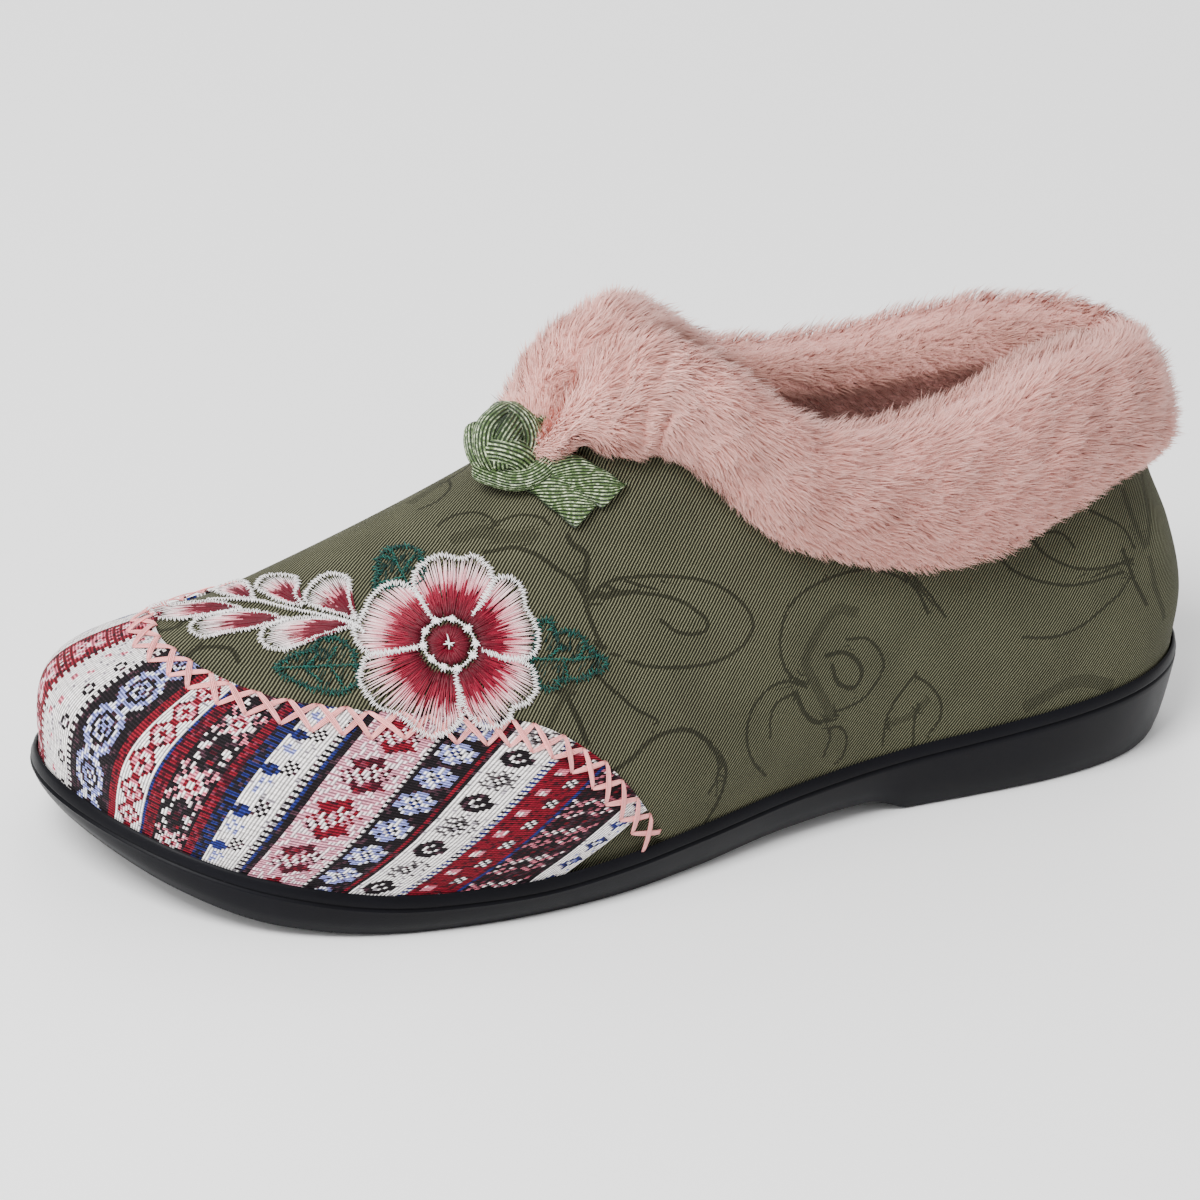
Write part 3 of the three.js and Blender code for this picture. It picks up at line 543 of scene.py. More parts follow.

# Lines woven into the cloth: half width in mm, then the turn and reach of each point
figureLines = [
    [0.42, 120, 66.2, 118.4, 69.4, 114.4, 67.9, 109.9, 65.3, 105.5, 61.6, 101.3, 57, 97.3, 51.2, 94, 45.2, 92.5, 40.8,
     92.8, 37.6, 94.5, 36, 97.1, 36.1, 100.7, 37.9, 104.4, 40.6, 107.8, 44.2, 111.9, 49.4],
    [0.45, 119.8, 65.7, 117.1, 65.5, 113, 63.2, 108.8, 60, 104.9, 55.8, 101.6, 51, 99.4, 47.2, 99, 44.9, 100.5, 45.1,
     102.8, 47.2, 105.2, 50.9],
    [0.38, 109.9, 41.4, 106.8, 36.3, 103.8, 31.4, 100.9, 27.5],
    [0.55, 103.9, 19.1, 102.2, 20.6, 100.8, 22.9, 98.9, 23.5, 96.5, 22.6, 94.4, 19.8, 92.1, 15.5, 90.6, 10.9, 90.5,
     6.8, 91, 3.1, 91.7, 0.7],
    [0.38, 94.4, 19.8, 92.1, 14.5, 91.5, 10.4, 92, 7.5],
    [0.38, 85.6, 46.9, 87.8, 45.9, 88.9, 43.4, 88.6, 38.7, 87.4, 33, 86, 28.4, 84.2, 24.9, 82.8, 23.2],
    [0.38, 85.6, 46.9, 82.7, 46.5, 78.9, 44.5, 74.4, 40.1, 70.8, 35.2, 68.5, 30.3],
    [0.38, 78, 29.1, 75.9, 28.1, 73.7, 24.5, 72.6, 20.6, 73.2, 17.1, 74.5, 14.6, 76.6, 13.8, 77.9, 14.1],
    [1.3, 79.7, 36.1, 81.8, 38, 82.8, 35.9, 83.3, 31.9, 83.3, 27.6, 81.4, 22.3, 79.7, 17.5, 78.5, 13.4],
    [0.6, 80.2, 27.3, 78.6, 26.8, 76.5, 24, 75.3, 20.5, 76.1, 17.8, 78.3, 20.3, 79.3, 23.6],
    [0.38, 83, 22.8, 85.2, 25, 87.1, 25.2, 88.6, 22.9, 89.1, 19.2, 88.6, 14.7, 87.3, 10, 85.6, 6],
    [0.38, 84.4, 21.7, 85.9, 21.1, 86.3, 18.3, 85.9, 14.9],
    [0.6, 83.4, 21, 81.9, 16.3, 80, 13.1, 78.1, 13.2],
    [0.38, 78.2, 5.2, 77.9, 8.5, 78.5, 10.6, 76.8, 9.7, 75.7, 6.4, 75.8, 3, 76.3, 1.9],
    [0.38, 68.5, 16.2, 70.2, 12.1, 71.1, 8.1, 71.1, 3],
    [0.38, 68.5, 16.2, 66.4, 12.9, 64.8, 8.8, 64.5, 4.6, 65.5, 1.7],
    [0.38, 67.5, 8.4, 67.6, 5, 67.4, 0.9],
    [1, 70.4, 6.5, 68.3, 7.1, 66.7, 9.1],
    [0.38, 73.4, 40, 70.6, 35.1, 68.6, 30.2],
    [0.38, 71.5, 38.1, 68.6, 33.1, 66.1, 28.2],
    [0.38, 59.1, 37.2, 57.4, 34.1, 54.6, 30.9, 51.3, 28.4, 47.8, 26.5, 44.1, 25.6, 40.4, 25.3, 37.2, 25.1],
    [0.38, 53.1, 37.8, 51.5, 34.7, 48.7, 31.6, 45.2, 29, 41.3, 27.6, 36.8, 27, 34.3, 26.7],
    [0.38, 51.1, 38.5, 48.2, 37.7, 46.3, 35.8, 45.7, 34.3],
    [0.38, 40, 39.4, 36.1, 36.4, 33.4, 33.3, 32.6, 29.8],
    [0.38, 54.5, 18.4, 51.4, 16.9, 48, 16.5, 44.5, 17.4, 41.4, 19.2, 37.9, 20.9, 35.6, 23.1],
    [0.9, 30.3, 40.1, 30, 34.9, 29.8, 31.5, 29.6, 29.1],
    [0.9, 20.8, 40.3, 23.1, 34.9, 27.3, 29.2],
    [0.6, 35.3, 28.5, 34.3, 22.1, 32.5, 16.7],
    [0.9, 28.9, 24.1, 29.2, 18.6, 27.2, 11.6],
    [1.7, 52.4, 2.8, 49.8, 4, 46.9, 5, 43.7, 4, 40, 1.5],
    [0.7, 143.2, 98.5, 131.1, 87.5, 121.7, 70.4, 117.9, 65.1, 114.8, 64.1, 111.9, 62.8],
    [0.55, 159.1, 94, 155.2, 96.9, 143.9, 92.5, 130.3, 80.9, 122.1, 69.7, 116.1, 58.1, 111.5, 49.2, 108, 44.6, 105.6,
     41.8],
    [0.38, 110.8, 43.1, 107.3, 37.4, 104.4, 32.5],
    [0.9, 113.4, 33.5, 113.1, 38.7, 112.8, 40.3],
    [0.7, 113.1, 39.5, 110.3, 33, 108.5, 27.8],
    [0.38, 176.1, 94.8, 176.6, 96.7, 175.9, 99.3, 174.2, 101.3, 171.8, 102.1, 169.3, 101.7, 167.9, 100.2],
    [0.38, 168.4, 102.3, 167.8, 105, 165.6, 106.7, 161.7, 107.3, 158.9, 106.5],
    [1.6, 169.4, 94.7, 167.9, 98.3, 161.9, 99.2, 157.8, 101.3],
    [0.7, 192.4, 35.1, 187.5, 38.4, 186.2, 41.3],
    [0.6, 166.8, 36.3, 171.9, 37.2, 173.4, 40.4, 171.3, 43.1, 167.5, 44.5, 164.3, 43.2]]


def upperReach(turn, v):
    share = np.clip(v / upperCloth["outerShare"], 0, 1)
    return (lengthAt(turn) + upperCloth["foot"]) * share - upperCloth["foot"]


def upperPlace(u, v):
    turn = u * 360
    reach = upperReach(turn, v)
    under = 1 - np.clip(reach - capEdge(turn) + 1.2, 0, 1)
    outer = skin(turn, reach, -upperCloth["underCap"] * under)
    length = lengthAt(turn)
    inner = np.clip((v - upperCloth["outerShare"]) / (1 - upperCloth["outerShare"]), 0, 1)
    back = length - (length + upperCloth["foot"]) * inner
    depth = np.where(inner <= 0.001, -upperCloth["edgeIn"], -shoe["wall"])
    return np.where((v <= upperCloth["outerShare"])[:, None], outer, skin(turn, back, depth))


def figureValues(piece):  # way to the nearest woven line, way across it, and half of its width
    points, tangents, halves = [], [], []
    for half, *line in figureLines:
        curve = throughPoints(pairs(*line), 16)
        for turn in (curve[:, 0], 360 - curve[:, 0]):
            solid = skin(turn, curve[:, 1])
            points.append(solid)
            tangents.append(np.gradient(solid, axis=0))
            halves += [half] * len(curve)
    points, tangents, halves = np.concatenate(points), unit(np.concatenate(tangents)), np.array(halves)
    places = readAll(piece.data.vertices, "co", 3).astype(float) * 1000 + [*shoe["middle"], 0]
    near = nearestOf(points)(places)
    away = places - points[near]
    across = (away * np.cross(readAll(piece.data.vertex_normals, "vector", 3), tangents[near])).sum(1)
    far = np.minimum(np.linalg.norm(away, axis=1), 6)
    return withOne(np.stack([far, across, halves[near]], -1))


def twillFinish():
    finish, tree, shader = newFinish("oliveTwill", 0.85, sheen=0.03, sheenTint=(0.8, 0.8, 0.65), specular=0.12)
    uv = addNode(tree, "UVMap").outputs[0]
    u, v = addNode(tree, "SeparateXYZ", {0: uv}).outputs[:2]
    wobble, fibre, mottle = [noiseAt(uv, *scale) for scale in ((0.5, 2.0), (2.4, 3.0), (0.06, 4.0))]
    diagonal = calculate("ADD", times(u, math.sin(upperCloth["slant"])), times(v, math.cos(upperCloth["slant"])))
    rib = remap(wave(timesPlus(wobble, 0.25, diagonal), 2 * math.pi / upperCloth["pitch"]), -0.35, 1.05)
    cross = remap(wave(v, 2 * math.pi / upperCloth["crossPitch"]), -1.0, 1.0)
    woven = addNode(tree, "Attribute", attribute_name="figure").outputs["Vector"]
    far, across, half = addNode(tree, "SeparateXYZ", {0: woven}).outputs
    gap = calculate("MAXIMUM", calculate("ABSOLUTE", across), minus(far, 0.9))
    figure = remap(timesPlus(minus(fibre, 0.5), 0.9, minus(gap, times(half, 0.85))), 0.1, -0.1)
    thread = times(times(rib, timesPlus(cross, 0.35, 0.65)), timesPlus(fibre, 1.0, 0.5))
    # painted shade: the ground darkens to near black where the threads sink between the ribs
    ground = mixColour(thread, upperCloth["dark"], upperCloth["light"])
    dim = mixColour(times(thread, 0.3), upperCloth["figure"], upperCloth["light"])
    broad = remap(half, 0.65, 1.0, 0.95, 0.5)
    shade = mixColour(remap(mottle, 0.3, 0.7), (0.86, 0.86, 0.84), (1.08, 1.08, 1.05))
    colour = mixColour(1.0, mixColour(times(figure, broad), ground, dim), shade, "MULTIPLY")
    paint(shader, colour, minus(thread, times(figure, 0.35)), 0.6, 0.00018)
    return finish


upperPiece = gridPiece("upper_cloth", upperCloth["columns"], upperCloth["rows"], upperPlace,
                       lambda u, v: clothAt(u * 360, upperReach(u * 360, v)))
finishPiece(upperPiece, twillFinish(), 50, "upper_twill", "upper")
pointValues(upperPiece, "figure", figureValues(upperPiece))

# Sole
sole = {"columns": 420, "recess": 4.5, "bevel": 2.4, "edgeOut": 1.5, "groove": 0.5, "footIn": 0.9,
        "clear": 0.3, "bulge": 0.06, "band": (0.0025, 0.0025, 0.003), "wall": (0.005, 0.005, 0.0075)}


def soleProfile(turn):  # out from the rim's line, height and share of the way in, row by row
    place = placeOf(turn)
    rim = rimAt(place)
    ground = groundAt(place) * np.interp(place, [0.29, 0.33, 0.42, 0.55], [1, 0.66, 0.74, 1])  # a worn, lower waist
    edge = rim - sole["bevel"]
    foot, out, clear = -sole["footIn"], sole["edgeOut"], sole["clear"]
    span = edge - sole["groove"] - ground - 0.8
    rows = [(foot - 0.9, ground, k) for k in (1.0, 0.85, 0.65, 0.45, 0.25, 0.1, 0.03)]
    rows += [(foot - 0.8, ground, 0), (foot - 0.3, ground + 0.15, 0), (foot, ground + 0.8, 0)]
    rows += [(foot + (out - foot) * t**0.7 + sole["bulge"] * math.sin(math.pi * t), ground + 0.8 + span * t, 0)
             for t in (0.2, 0.4, 0.6, 0.8, 0.92)]
    rows += [(out - 0.05, edge - sole["groove"] - 0.25, 0), (out - 0.15, edge - sole["groove"], 0),
             (out - 0.5, edge - 0.2, 0), (out - 0.55, edge, 0), (out - 0.15, edge + 0.2, 0),
             (out - 0.1, edge + 0.45, 0), (out - 0.35, edge + 1.1, 0), (clear + 0.7, rim - 0.5, 0),
             (clear + 0.4, rim - 0.15, 0), (clear + 0.15, rim, 0), (clear, rim - 0.2, 0)]
    rows += [(clear, rim - sole["recess"], k) for k in (0.0, 0.05, 0.4, 0.8, 1.0)]
    return [np.array(values) for values in zip(*rows)]


soleRowCount = len(soleProfile(np.array([90.0]))[0])


def solePlace(u, v):
    turn = u * 360
    out, z, inward = soleProfile(turn)
    row = np.round(v * (soleRowCount - 1)).astype(int)
    point = rimPoint(turn) + rimNormal(turn) * out[row][:, None]
    shift = shoe["ballHalf"] * shiftAt(placeOf(turn))
    point[:, 1] = shift + (point[:, 1] - shift) * (1 - inward[row])
    point[:, 2] = z[row, np.arange(len(u))]
    return point


def rubberFinish():
    finish, tree, shader = newFinish("blackRubber", 0.42, specular=0.08)
    cloud = objectNoise(tree, 60.0, 3.0)
    tree.links.new(timesPlus(cloud, 0.22, 0.3), shader.inputs["Roughness"])
    paint(shader, mixColour(cloud, sole["band"], sole["wall"]), objectNoise(tree, 2600.0, 2.0), 0.25, 0.0001)
    return finish


solePiece = gridPiece("outsole_rubber", sole["columns"], soleRowCount - 1, solePlace)
finishPiece(solePiece, rubberFinish(), 35, "sole_rubber", "outsole")

# Insole: the frame's own solid with a pile finish; the inner faces of the upper take the same pile, darker than the
# collar's pink as painted shade inside the shoe
insole = {"light": (0.52, 0.27, 0.24), "deep": (0.25, 0.11, 0.10)}


def pileFinish(name, light, deep):
    finish, tree, shader = newFinish(name, 0.95, sheen=0.5, sheenTint=(1, 0.8, 0.78), specular=0.15)
    curl = objectNoise(tree, 700.0, 4.0, 0.7)
    mixed = timesPlus(objectNoise(tree, 90.0, 3.0), 0.6, times(curl, 0.6))
    paint(shader, mixColour(remap(mixed, 0.35, 0.85), deep, light), curl, 0.9, 0.0012)
    return finish


pileMaterial = pileFinish("pinkPile", insole["light"], insole["deep"])
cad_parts["insole"].data.materials.clear()
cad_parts["insole"].data.materials.append(pileMaterial)
upperPiece.data.materials.append(pileMaterial)
cornerUv = readAll(upperPiece.data.uv_layers.active.data, "uv", 2).reshape(-1, 4, 2)
one, two = cornerUv[:, 2] - cornerUv[:, 0], cornerUv[:, 3] - cornerUv[:, 1]
flatSize = np.abs(one[:, 0] * two[:, 1] - one[:, 1] * two[:, 0])  # inner faces lie on one line of the flat cloth
writeAll(upperPiece.data.polygons, "material_index", flatSize < 0.002, np.int32)
print("insole and lining ready")

# Toe cap: bands of a woven cloth. across is the way over the bands in mm, along the way on them.
toeCap = {"pitch": 0.57, "thick": 0.8, "across": (-97, 100), "along": (-9, 66), "foot": 4.0, "turns": (94, 266)}
# Where chosen band edges leave the rim: x and y on the flat cloth, angle of the edge, way across
bandEdges = np.array([
    [-100, 95, 88, -125], [-60, 33, 88, -74], [-30, 9, 90, -31], [-3.1, 1.0, 94.5, 0], [7.9, 1.1, 100.9, 10.9],
    [20.2, 2.6, 105.3, 23.2], [26.7, 4.8, 108.4, 30.1], [36.9, 10.0, 109.8, 41.4], [45.9, 16.3, 109.0, 52.0],
    [53.7, 24.5, 107.0, 62.0], [59.1, 31.4, 104.5, 69.1], [65.8, 41.1, 102.3, 77.8],
    [71.8, 51.7, 101.5, 86.0], [77.6, 64.6, 100.0, 94.2], [82, 76, 99, 103]])
edgeX, edgeY, edgeAngle = rowCurves(bandEdges, (0, 1, 2), x=3)

# each yarn's colour, the colour of its stray stitches, and how many of them there are
yarns = {"W": ((0.82, 0.78, 0.77), (0.4, 0.36, 0.4), 0.06),
         "K": ((0.008, 0.005, 0.007), (0.05, 0.02, 0.03), 0.15),
         "R": ((0.165, 0.003, 0.013), (0.04, 0.003, 0.008), 0.22),
         "D": ((0.045, 0.003, 0.009), (0.16, 0.02, 0.04), 0.2),
         "P": ((0.62, 0.16, 0.22), (0.8, 0.6, 0.62), 0.35),
         "B": ((0.012, 0.018, 0.13), (0.01, 0.008, 0.02), 0.25),
         "L": ((0.22, 0.24, 0.55), (0.72, 0.72, 0.8), 0.4),
         "G": ((0.09, 0.08, 0.085), (0.6, 0.56, 0.58), 0.3),
         "Q": ((0.56, 0.23, 0.3), (0.78, 0.62, 0.66), 0.4)}
# one letter for each woven stitch, one word for each line of the weave; a point shows the ground
ringFlower = ("...LL..LL.... ..LLLLLLLL... .LLLL..LLLL.. LLL......LLL. .LL.LLLL.LL.. LL..L..L..LL. LL.LL.L.L.LL. "
              "LL.L.LL.L.LL. LL..L..L..LL. .LL.LLLL.LL.. LLL......LLL. .LLLL..LLLL.. ..LLLLLLLL... ...LL..LL....")
petalFlower = ("...RRR... ..RPPPR.. .RR.P.RR. RPP.R.PPR RPPRRRPPR RPP.R.PPR .RR.P.RR. ..RPPPR.. ...RRR...")
starFigure = (".P.W....W.P. PP.PP..PP.PP .P..WPPW..P. ..P.PWPP.P.. ...WPRRPW... .PWPRWWRPWP. .PWPRWWRPWP. "
              "...WPRRPW... ..P.PPWP.P.. .P..WPPW..P. PP.PP..PP.PP .P.W....W.P. ............ ..WW..RR.... "
              "..W......WW. ............ .WW..DD..WP. .WWP....WWW. ..WW.DD.PW.. ............ W..W......W. "
              "............")
smallFlowers = (".BBB..... BBBBB.... BBBBBKWKW .BBB.WKWK .....KWKW .....WKWK .....KWK. ......... ..L.L.... "
                "..LLL.... .LLWL.... ..LL.L... ..L.L.... .........")
crossFigure = ("......RR..... .....RRRR.... ....RRRRRRR.. ..R.RR.RRRRRR .R.WR.WRRRRR. ..WR.WR.RRR.. R.R.WR.WR.R.. "
               ".R.WR.WR.R.R. ..R.RW.RW.R.. ..RRR.RW.RW.R .RRRRR.RW.R.. RRRRRR.RR.R.. ..RRRRRRR.... ....RRRR..... "
               "......RR..... ............. ............. ......DD..... .....DRDD.... ....DDRDDRD.. ..D.DD.DRDDDR "
               ".D.WD.WDDDRD. ..WD.WD.DDD.. D.D.WD.WD.D.. .D.WR.WD.D.D. ..D.RW.DW.D.. ..DDD.DW.DW.D .DRDDD.RW.D.. "
               "DDDDRD.DD.D.. ..DDRDDDD.... ....DDDD..... ......DD..... ............. .............")
lilacFlower = ("...LLL... ..LLLLL.. LL.LWL.LL LLLWBWLLL .LWBWBWL. LLLWBWLLL LL.LWL.LL ..LLLLL.. ...LLL... "
               "......... .........")
ringAndDaisy = ("..KKKK... .KKKKKK.. KKK..KKK. KK.KK.KK. KK.KKKKK. KKK.KK... .KKKKK... ..KKK.... ......... "
                "......... ...G.G... .GG.G.GG. G..GKG..G .GGK.KGG. G.G.K.G.G .GGK.KGG. G..GKG..G .GG.G.GG. "
                "...G.G... ......... .........")
dotsOnRed = (".......... .PPP...... .PPP...... .PPP...... .......... ......WKW. ......KWK. ......WKW. ......KWK. "
             "..........")
lattice = ("P.......P.... .P.P...P.P.P. ..P.W.P.W.P.. .P.P.W.W.P.P. P...P...P...P D.D.D.D.D.D.D ............. "
           "D.D.R.D.R.D.D ............. D.D.D.D.D.D.D ...P.....P... P.P.P...P.P.P .P...P.P...P. ..P.P...P.P.. "
           "....D.D.D....")
blueFigure = ("....B..... ...BBB.... ..BBLBB... .BBLWLBB.. ..BBLBB... ...BBB.... ....B..... .......... ..L....L.. "
              ".......... ....B.....")
redBlocks = ("..PPPP..PPPP.. .PPWPPPPPPWPP. ..PPPP..PPPP.. ....PPPPPP.... .....PWWP..... ....PPPPPP.... "
             "..PPPP..PPPP.. .PPWPPPPPPWPP. ..PPPP..PPPP.. .............. .P..P.PP.P..P. .............. "
             "..P..P..P..P.. ..............")
pinkDots = (".............. .PP.......KK.. .PP......KWWK. .........KWWK. ..........KK.. ....PP........ "
            "....PP........ .............. .............. ..............")
# from (mm across), ground, chart, cells in from its edge; a two letter ground is a comb of the two
bandOrder = [
    (-9.6, "R", redBlocks, 1), (-0.5, "RW", None, 0), (0.6, "W", pinkDots, 2), (9.8, "WK", None, 0),
    (10.9, "K", ringFlower, 3), (21.2, "R", None, 0), (22.9, "W", petalFlower, 1), (28.9, "B", None, 0),
    (29.7, "RD", None, 0), (31.6, "K", starFigure, 0), (38.6, "RD", None, 0), (40.2, "BK", None, 0),
    (42.6, "W", smallFlowers, 0), (49.0, "WK", None, 0), (49.9, "B", None, 0),
    (50.9, "K", None, 0), (51.9, "Q", crossFigure, 2), (61.2, "WK", None, 0), (62.0, "K", lilacFlower, 1),
    (67.6, "K", None, 0), (68.5, "R", None, 0), (69.1, "K", None, 0), (69.7, "W", ringAndDaisy, 2),
    (77.0, "WB", None, 0), (78.1, "R", dotsOnRed, 1), (84.8, "B", None, 0), (85.5, "K", lattice, 0),
    (93.4, "K", None, 0), (94.2, "W", blueFigure, 1)]
bandRepeat = 114.0  # the cloth starts again after its last band


def cellNoise(a, b, seed):
    value = np.sin(a * 127.1 + b * 311.7 + seed * 74.7) * 43758.5453
    return value - np.floor(value)


def bandColours(across, along):
    pitch = toeCap["pitch"]
    start = bandOrder[0][0]
    way = np.mod(across - start, bandRepeat) + start
    band = np.searchsorted([row[0] for row in bandOrder], way, side="right") - 1
    lineCell = np.floor(along / pitch).astype(int)
    colours = np.empty((len(across), 3))
    for b, (fromEdge, ground, chart, inset) in enumerate(bandOrder):
        here = np.nonzero(band == b)[0]
        if not len(here):
            continue
        cell = np.floor((way[here] - fromEdge) / pitch).astype(int) - inset
        row = lineCell[here] + 3 * b
        letters = np.where(row % 2 == 0, ground[0], ground[-1])
        if chart:
            table = np.array([list(line) for line in chart.split()])
            wide = table.shape[1]
            picked = table[row % len(table), np.clip(cell, 0, wide - 1)]
            letters = np.where((cell >= 0) & (cell < wide) & (picked != "."), picked, letters)
        chance = cellNoise(np.floor(way[here] / pitch), lineCell[here], 3)
        colours[here] = [yarns[letter][int(luck < yarns[letter][2])] for letter, luck in zip(letters, chance)]
    return colours


def makeCapWeave():
    pitch = toeCap["pitch"]
    a, b = np.meshgrid(np.arange(*toeCap["across"], pitch), np.arange(*toeCap["along"], pitch), indexing="ij")
    shape, wide = a.shape, a.shape[1]
    a, b = a.ravel(), b.ravel()
    angle = np.radians(edgeAngle(a))
    flat = np.stack([edgeX(a) + b * np.cos(angle), edgeY(a) + b * np.sin(angle)], -1)
    turn, reach = solveOn(clothAt, flat, np.arange(90, 271, 1.5), np.arange(-6, 44, 2.0))
    top = capEdge(turn)
    near = np.linalg.norm(clothAt(turn, reach) - flat, axis=1) < 0.5
    low, high = toeCap["turns"]
    keep = near & (reach > -toeCap["foot"]) & (reach < top) & (turn > low) & (turn < high)
    keep, near = keep.reshape(shape), near.reshape(shape)
    grown = keep.copy()
    for k in (-1, 0, 1):
        for j in (-1, 0, 1):
            grown |= np.roll(keep, (k, j), (0, 1))
    corners = [np.stack([net[:-1, :-1], net[1:, :-1], net[:-1, 1:], net[1:, 1:]]) for net in (grown & near, keep)]
    i, j = np.nonzero(corners[0].all(0) & corners[1].any(0))
    faces = np.stack([i * wide + j, (i + 1) * wide + j, (i + 1) * wide + j + 1, i * wide + j + 1], -1)
    reach = np.clip(reach, -toeCap["foot"], top)
    rise = np.clip(reach / 5, 0, 1)
    points = skin(turn, reach, capProud * rise**2 * (3 - 2 * rise))
    used, compact = np.unique(faces, return_inverse=True)
    faces = compact.reshape(faces.shape)
    points, a, b = points[used], a[used], b[used]
    one = points[faces]
    middle = one.mean(1)
    normal = np.cross(one[:, 1] - one[:, 0], one[:, 2] - one[:, 0])
    if (normal * (middle - middle.mean(0))).sum() < 0:
        faces = faces[:, ::-1]
    piece = meshPiece("toe_cap_weave", points, faces)
    cellA, cellB = a[faces].mean(1), b[faces].mean(1)
    noise = cellNoise(np.floor(cellA / pitch), np.floor(cellB / pitch), 1)
    tick = np.where(np.floor(cellB / pitch).astype(int) % 2 == 0, 1.0, 0.86)
    colours = bandColours(cellA, cellB) * (0.82 + 0.36 * noise)[:, None] * tick[:, None]
    pointValues(piece, "weave", np.repeat(withOne(colours), 4, axis=0), "CORNER")
    writeAll(piece.data.uv_layers.new(name="cloth").data, "uv", np.stack([a[faces], b[faces]], -1))
    onlyActive(piece)
    wall = piece.modifiers.new("wall", "SOLIDIFY")
    wall.thickness = toeCap["thick"] / 1000
    wall.offset = -1
    bpy.ops.object.modifier_apply(modifier="wall")
    return piece


def weaveFinish():
    finish, tree, shader = newFinish("wovenBands", 0.8, sheen=0.03, specular=0.15)
    uv = addNode(tree, "UVMap").outputs[0]
    u, v = addNode(tree, "SeparateXYZ", {0: uv}).outputs[:2]
    weft, warp = [remap(wave(way, 2 * math.pi / toeCap["pitch"]), -1, 1) for way in (v, u)]
    floating = times(weft, timesPlus(warp, 0.35, 0.65))
    cords = times(warp, timesPlus(weft, 0.35, 0.65))
    colour = storedValue(tree, "weave")
    pale = addNode(tree, "SeparateColor", {0: colour}).outputs[1]
    height = addNode(tree, "Mix", {0: remap(pale, 0.3, 0.5), 2: floating, 3: cords}).outputs[0]
    # painted shade: the colour darkens where the yarns sink, times a random tone from noise
    shade = times(timesPlus(height, 1.25, 0.3), timesPlus(noiseAt(uv, 3.5, 3.0), 0.5, 0.8))
    bright = addNode(tree, "CombineColor", {0: shade, 1: shade, 2: shade}).outputs[0]
    paint(shader, mixColour(1.0, colour, bright, "MULTIPLY"), height, 0.7, 0.0002)
    return finish


finishPiece(makeCapWeave(), weaveFinish(), 60, "cap_weave", "toe_cap")

# Fur collar
fur = {"over": 7.5, "inside": 16.0, "width": 0.08, "seed": 5, "steps": 4, "sink": 0.05, "sinkRise": 0.66,
       "back": 0.8, "down": 0.3, "drift": 0.12, "stray": 0.13, "columns": 240, "rows": 40,
       # root, middle and tip: darker at the root as painted shade deep in the pile, lighter at the tip as painted
       # highlight
       "root": (0.72, 0.34, 0.29), "middle": (0.82, 0.40, 0.34), "tip": (0.94, 0.61, 0.54),
       # the inner colours are darker: painted shade inside the opening
       "bed": 0.78, "bedRise": 0.7, "shadedInnerRoot": (0.40, 0.165, 0.13), "shadedInnerTip": (0.67, 0.37, 0.31)}
# turn, drop outside, plump outside, plump inside and height of the ridge
furRows = np.array([
    [0, 21, 8, 21, 1], [30, 19.6, 8, 17, 1], [60, 25.1, 8.5, 12, 1], [90, 17.8, 8.5, 8, 1], [115, 15.2, 8.5, 6.5, 0.65],
    [128, 16, 8.5, 6, 0.6], [140, 16.6, 9.2, 6, 0.95], [152, 12.7, 9.6, 3.5, 1.25], [165, 3.8, 8.5, 1.5, 1.2],
    [180, 3.5, 5, 0.8, 1]], float)
furDrop, furPlump, furInner, furRidge = rowCurves(furRows, (1, 2, 3, 4), True)
# way along the section, share of drop, of over and of inside, and thickness outside (+) or inside (-)
furSection = np.array([
    [0.00, 1.06, 0, 0, 0.12], [0.08, 1.0, 0, 0, 0.62], [0.18, 0.78, 0, 0, 0.98], [0.30, 0.45, 0, 0, 1.06],
    [0.42, 0.15, 0, 0, 1.0], [0.50, 0, 0.5, 0, 0.72], [0.56, 0, 0.95, 0, 0.22], [0.61, 0, 1.05, 0, -0.3],
    [0.67, 0, 0.8, 0, -0.75], [0.73, 0, 0.3, 0.05, -1.0], [0.87, 0, 0, 0.6, -0.95], [0.96, 0, 0, 1.0, -0.5],
    [1.00, 0, 0, 1.02, -0.05]])
furCurves = rowCurves(furSection, (1, 2, 3, 4), True)


def furPoint(turn, way, grow=fur["bed"], rise=fur["bedRise"]):
    half = foldTurn(turn)[0]
    drop, over, inside, thick = [curve(np.asarray(way, float)) for curve in furCurves]
    down = drop * furDrop(half) - over * fur["over"] * rise * furRidge(half) + inside * fur["inside"]
    reach = lengthAt(turn) - down
    swell = np.sin(turn * 0.31 + way * 9) * np.sin(turn * 0.17 - way * 14 + 1) + 0.6 * np.sin(turn * 0.53 + way * 21)
    swell = 0.5 * swell * np.clip(way / 0.1, 0, 1) * np.clip((0.66 - way) / 0.1, 0, 1)
    inward = np.clip(0.5 - thick / 0.3, 0, 1)  # 0 on the outer side, 1 inside
    out = swell + thick * grow * np.where(thick < 0, furInner(half), furPlump(half)) - shoe["wall"] * inward
    return skin(turn, reach, 0) + skinNormal(turn, np.minimum(reach, lengthAt(turn))) * out[..., None]


furBed = gridPiece("fur_bed", fur["columns"], fur["rows"], lambda u, v: furPoint(u * 360, v))
finishPiece(furBed, pileFinish("furGround", (0.78, 0.40, 0.35), (0.62, 0.28, 0.24)), 80, "collar_fur", "fur_collar")


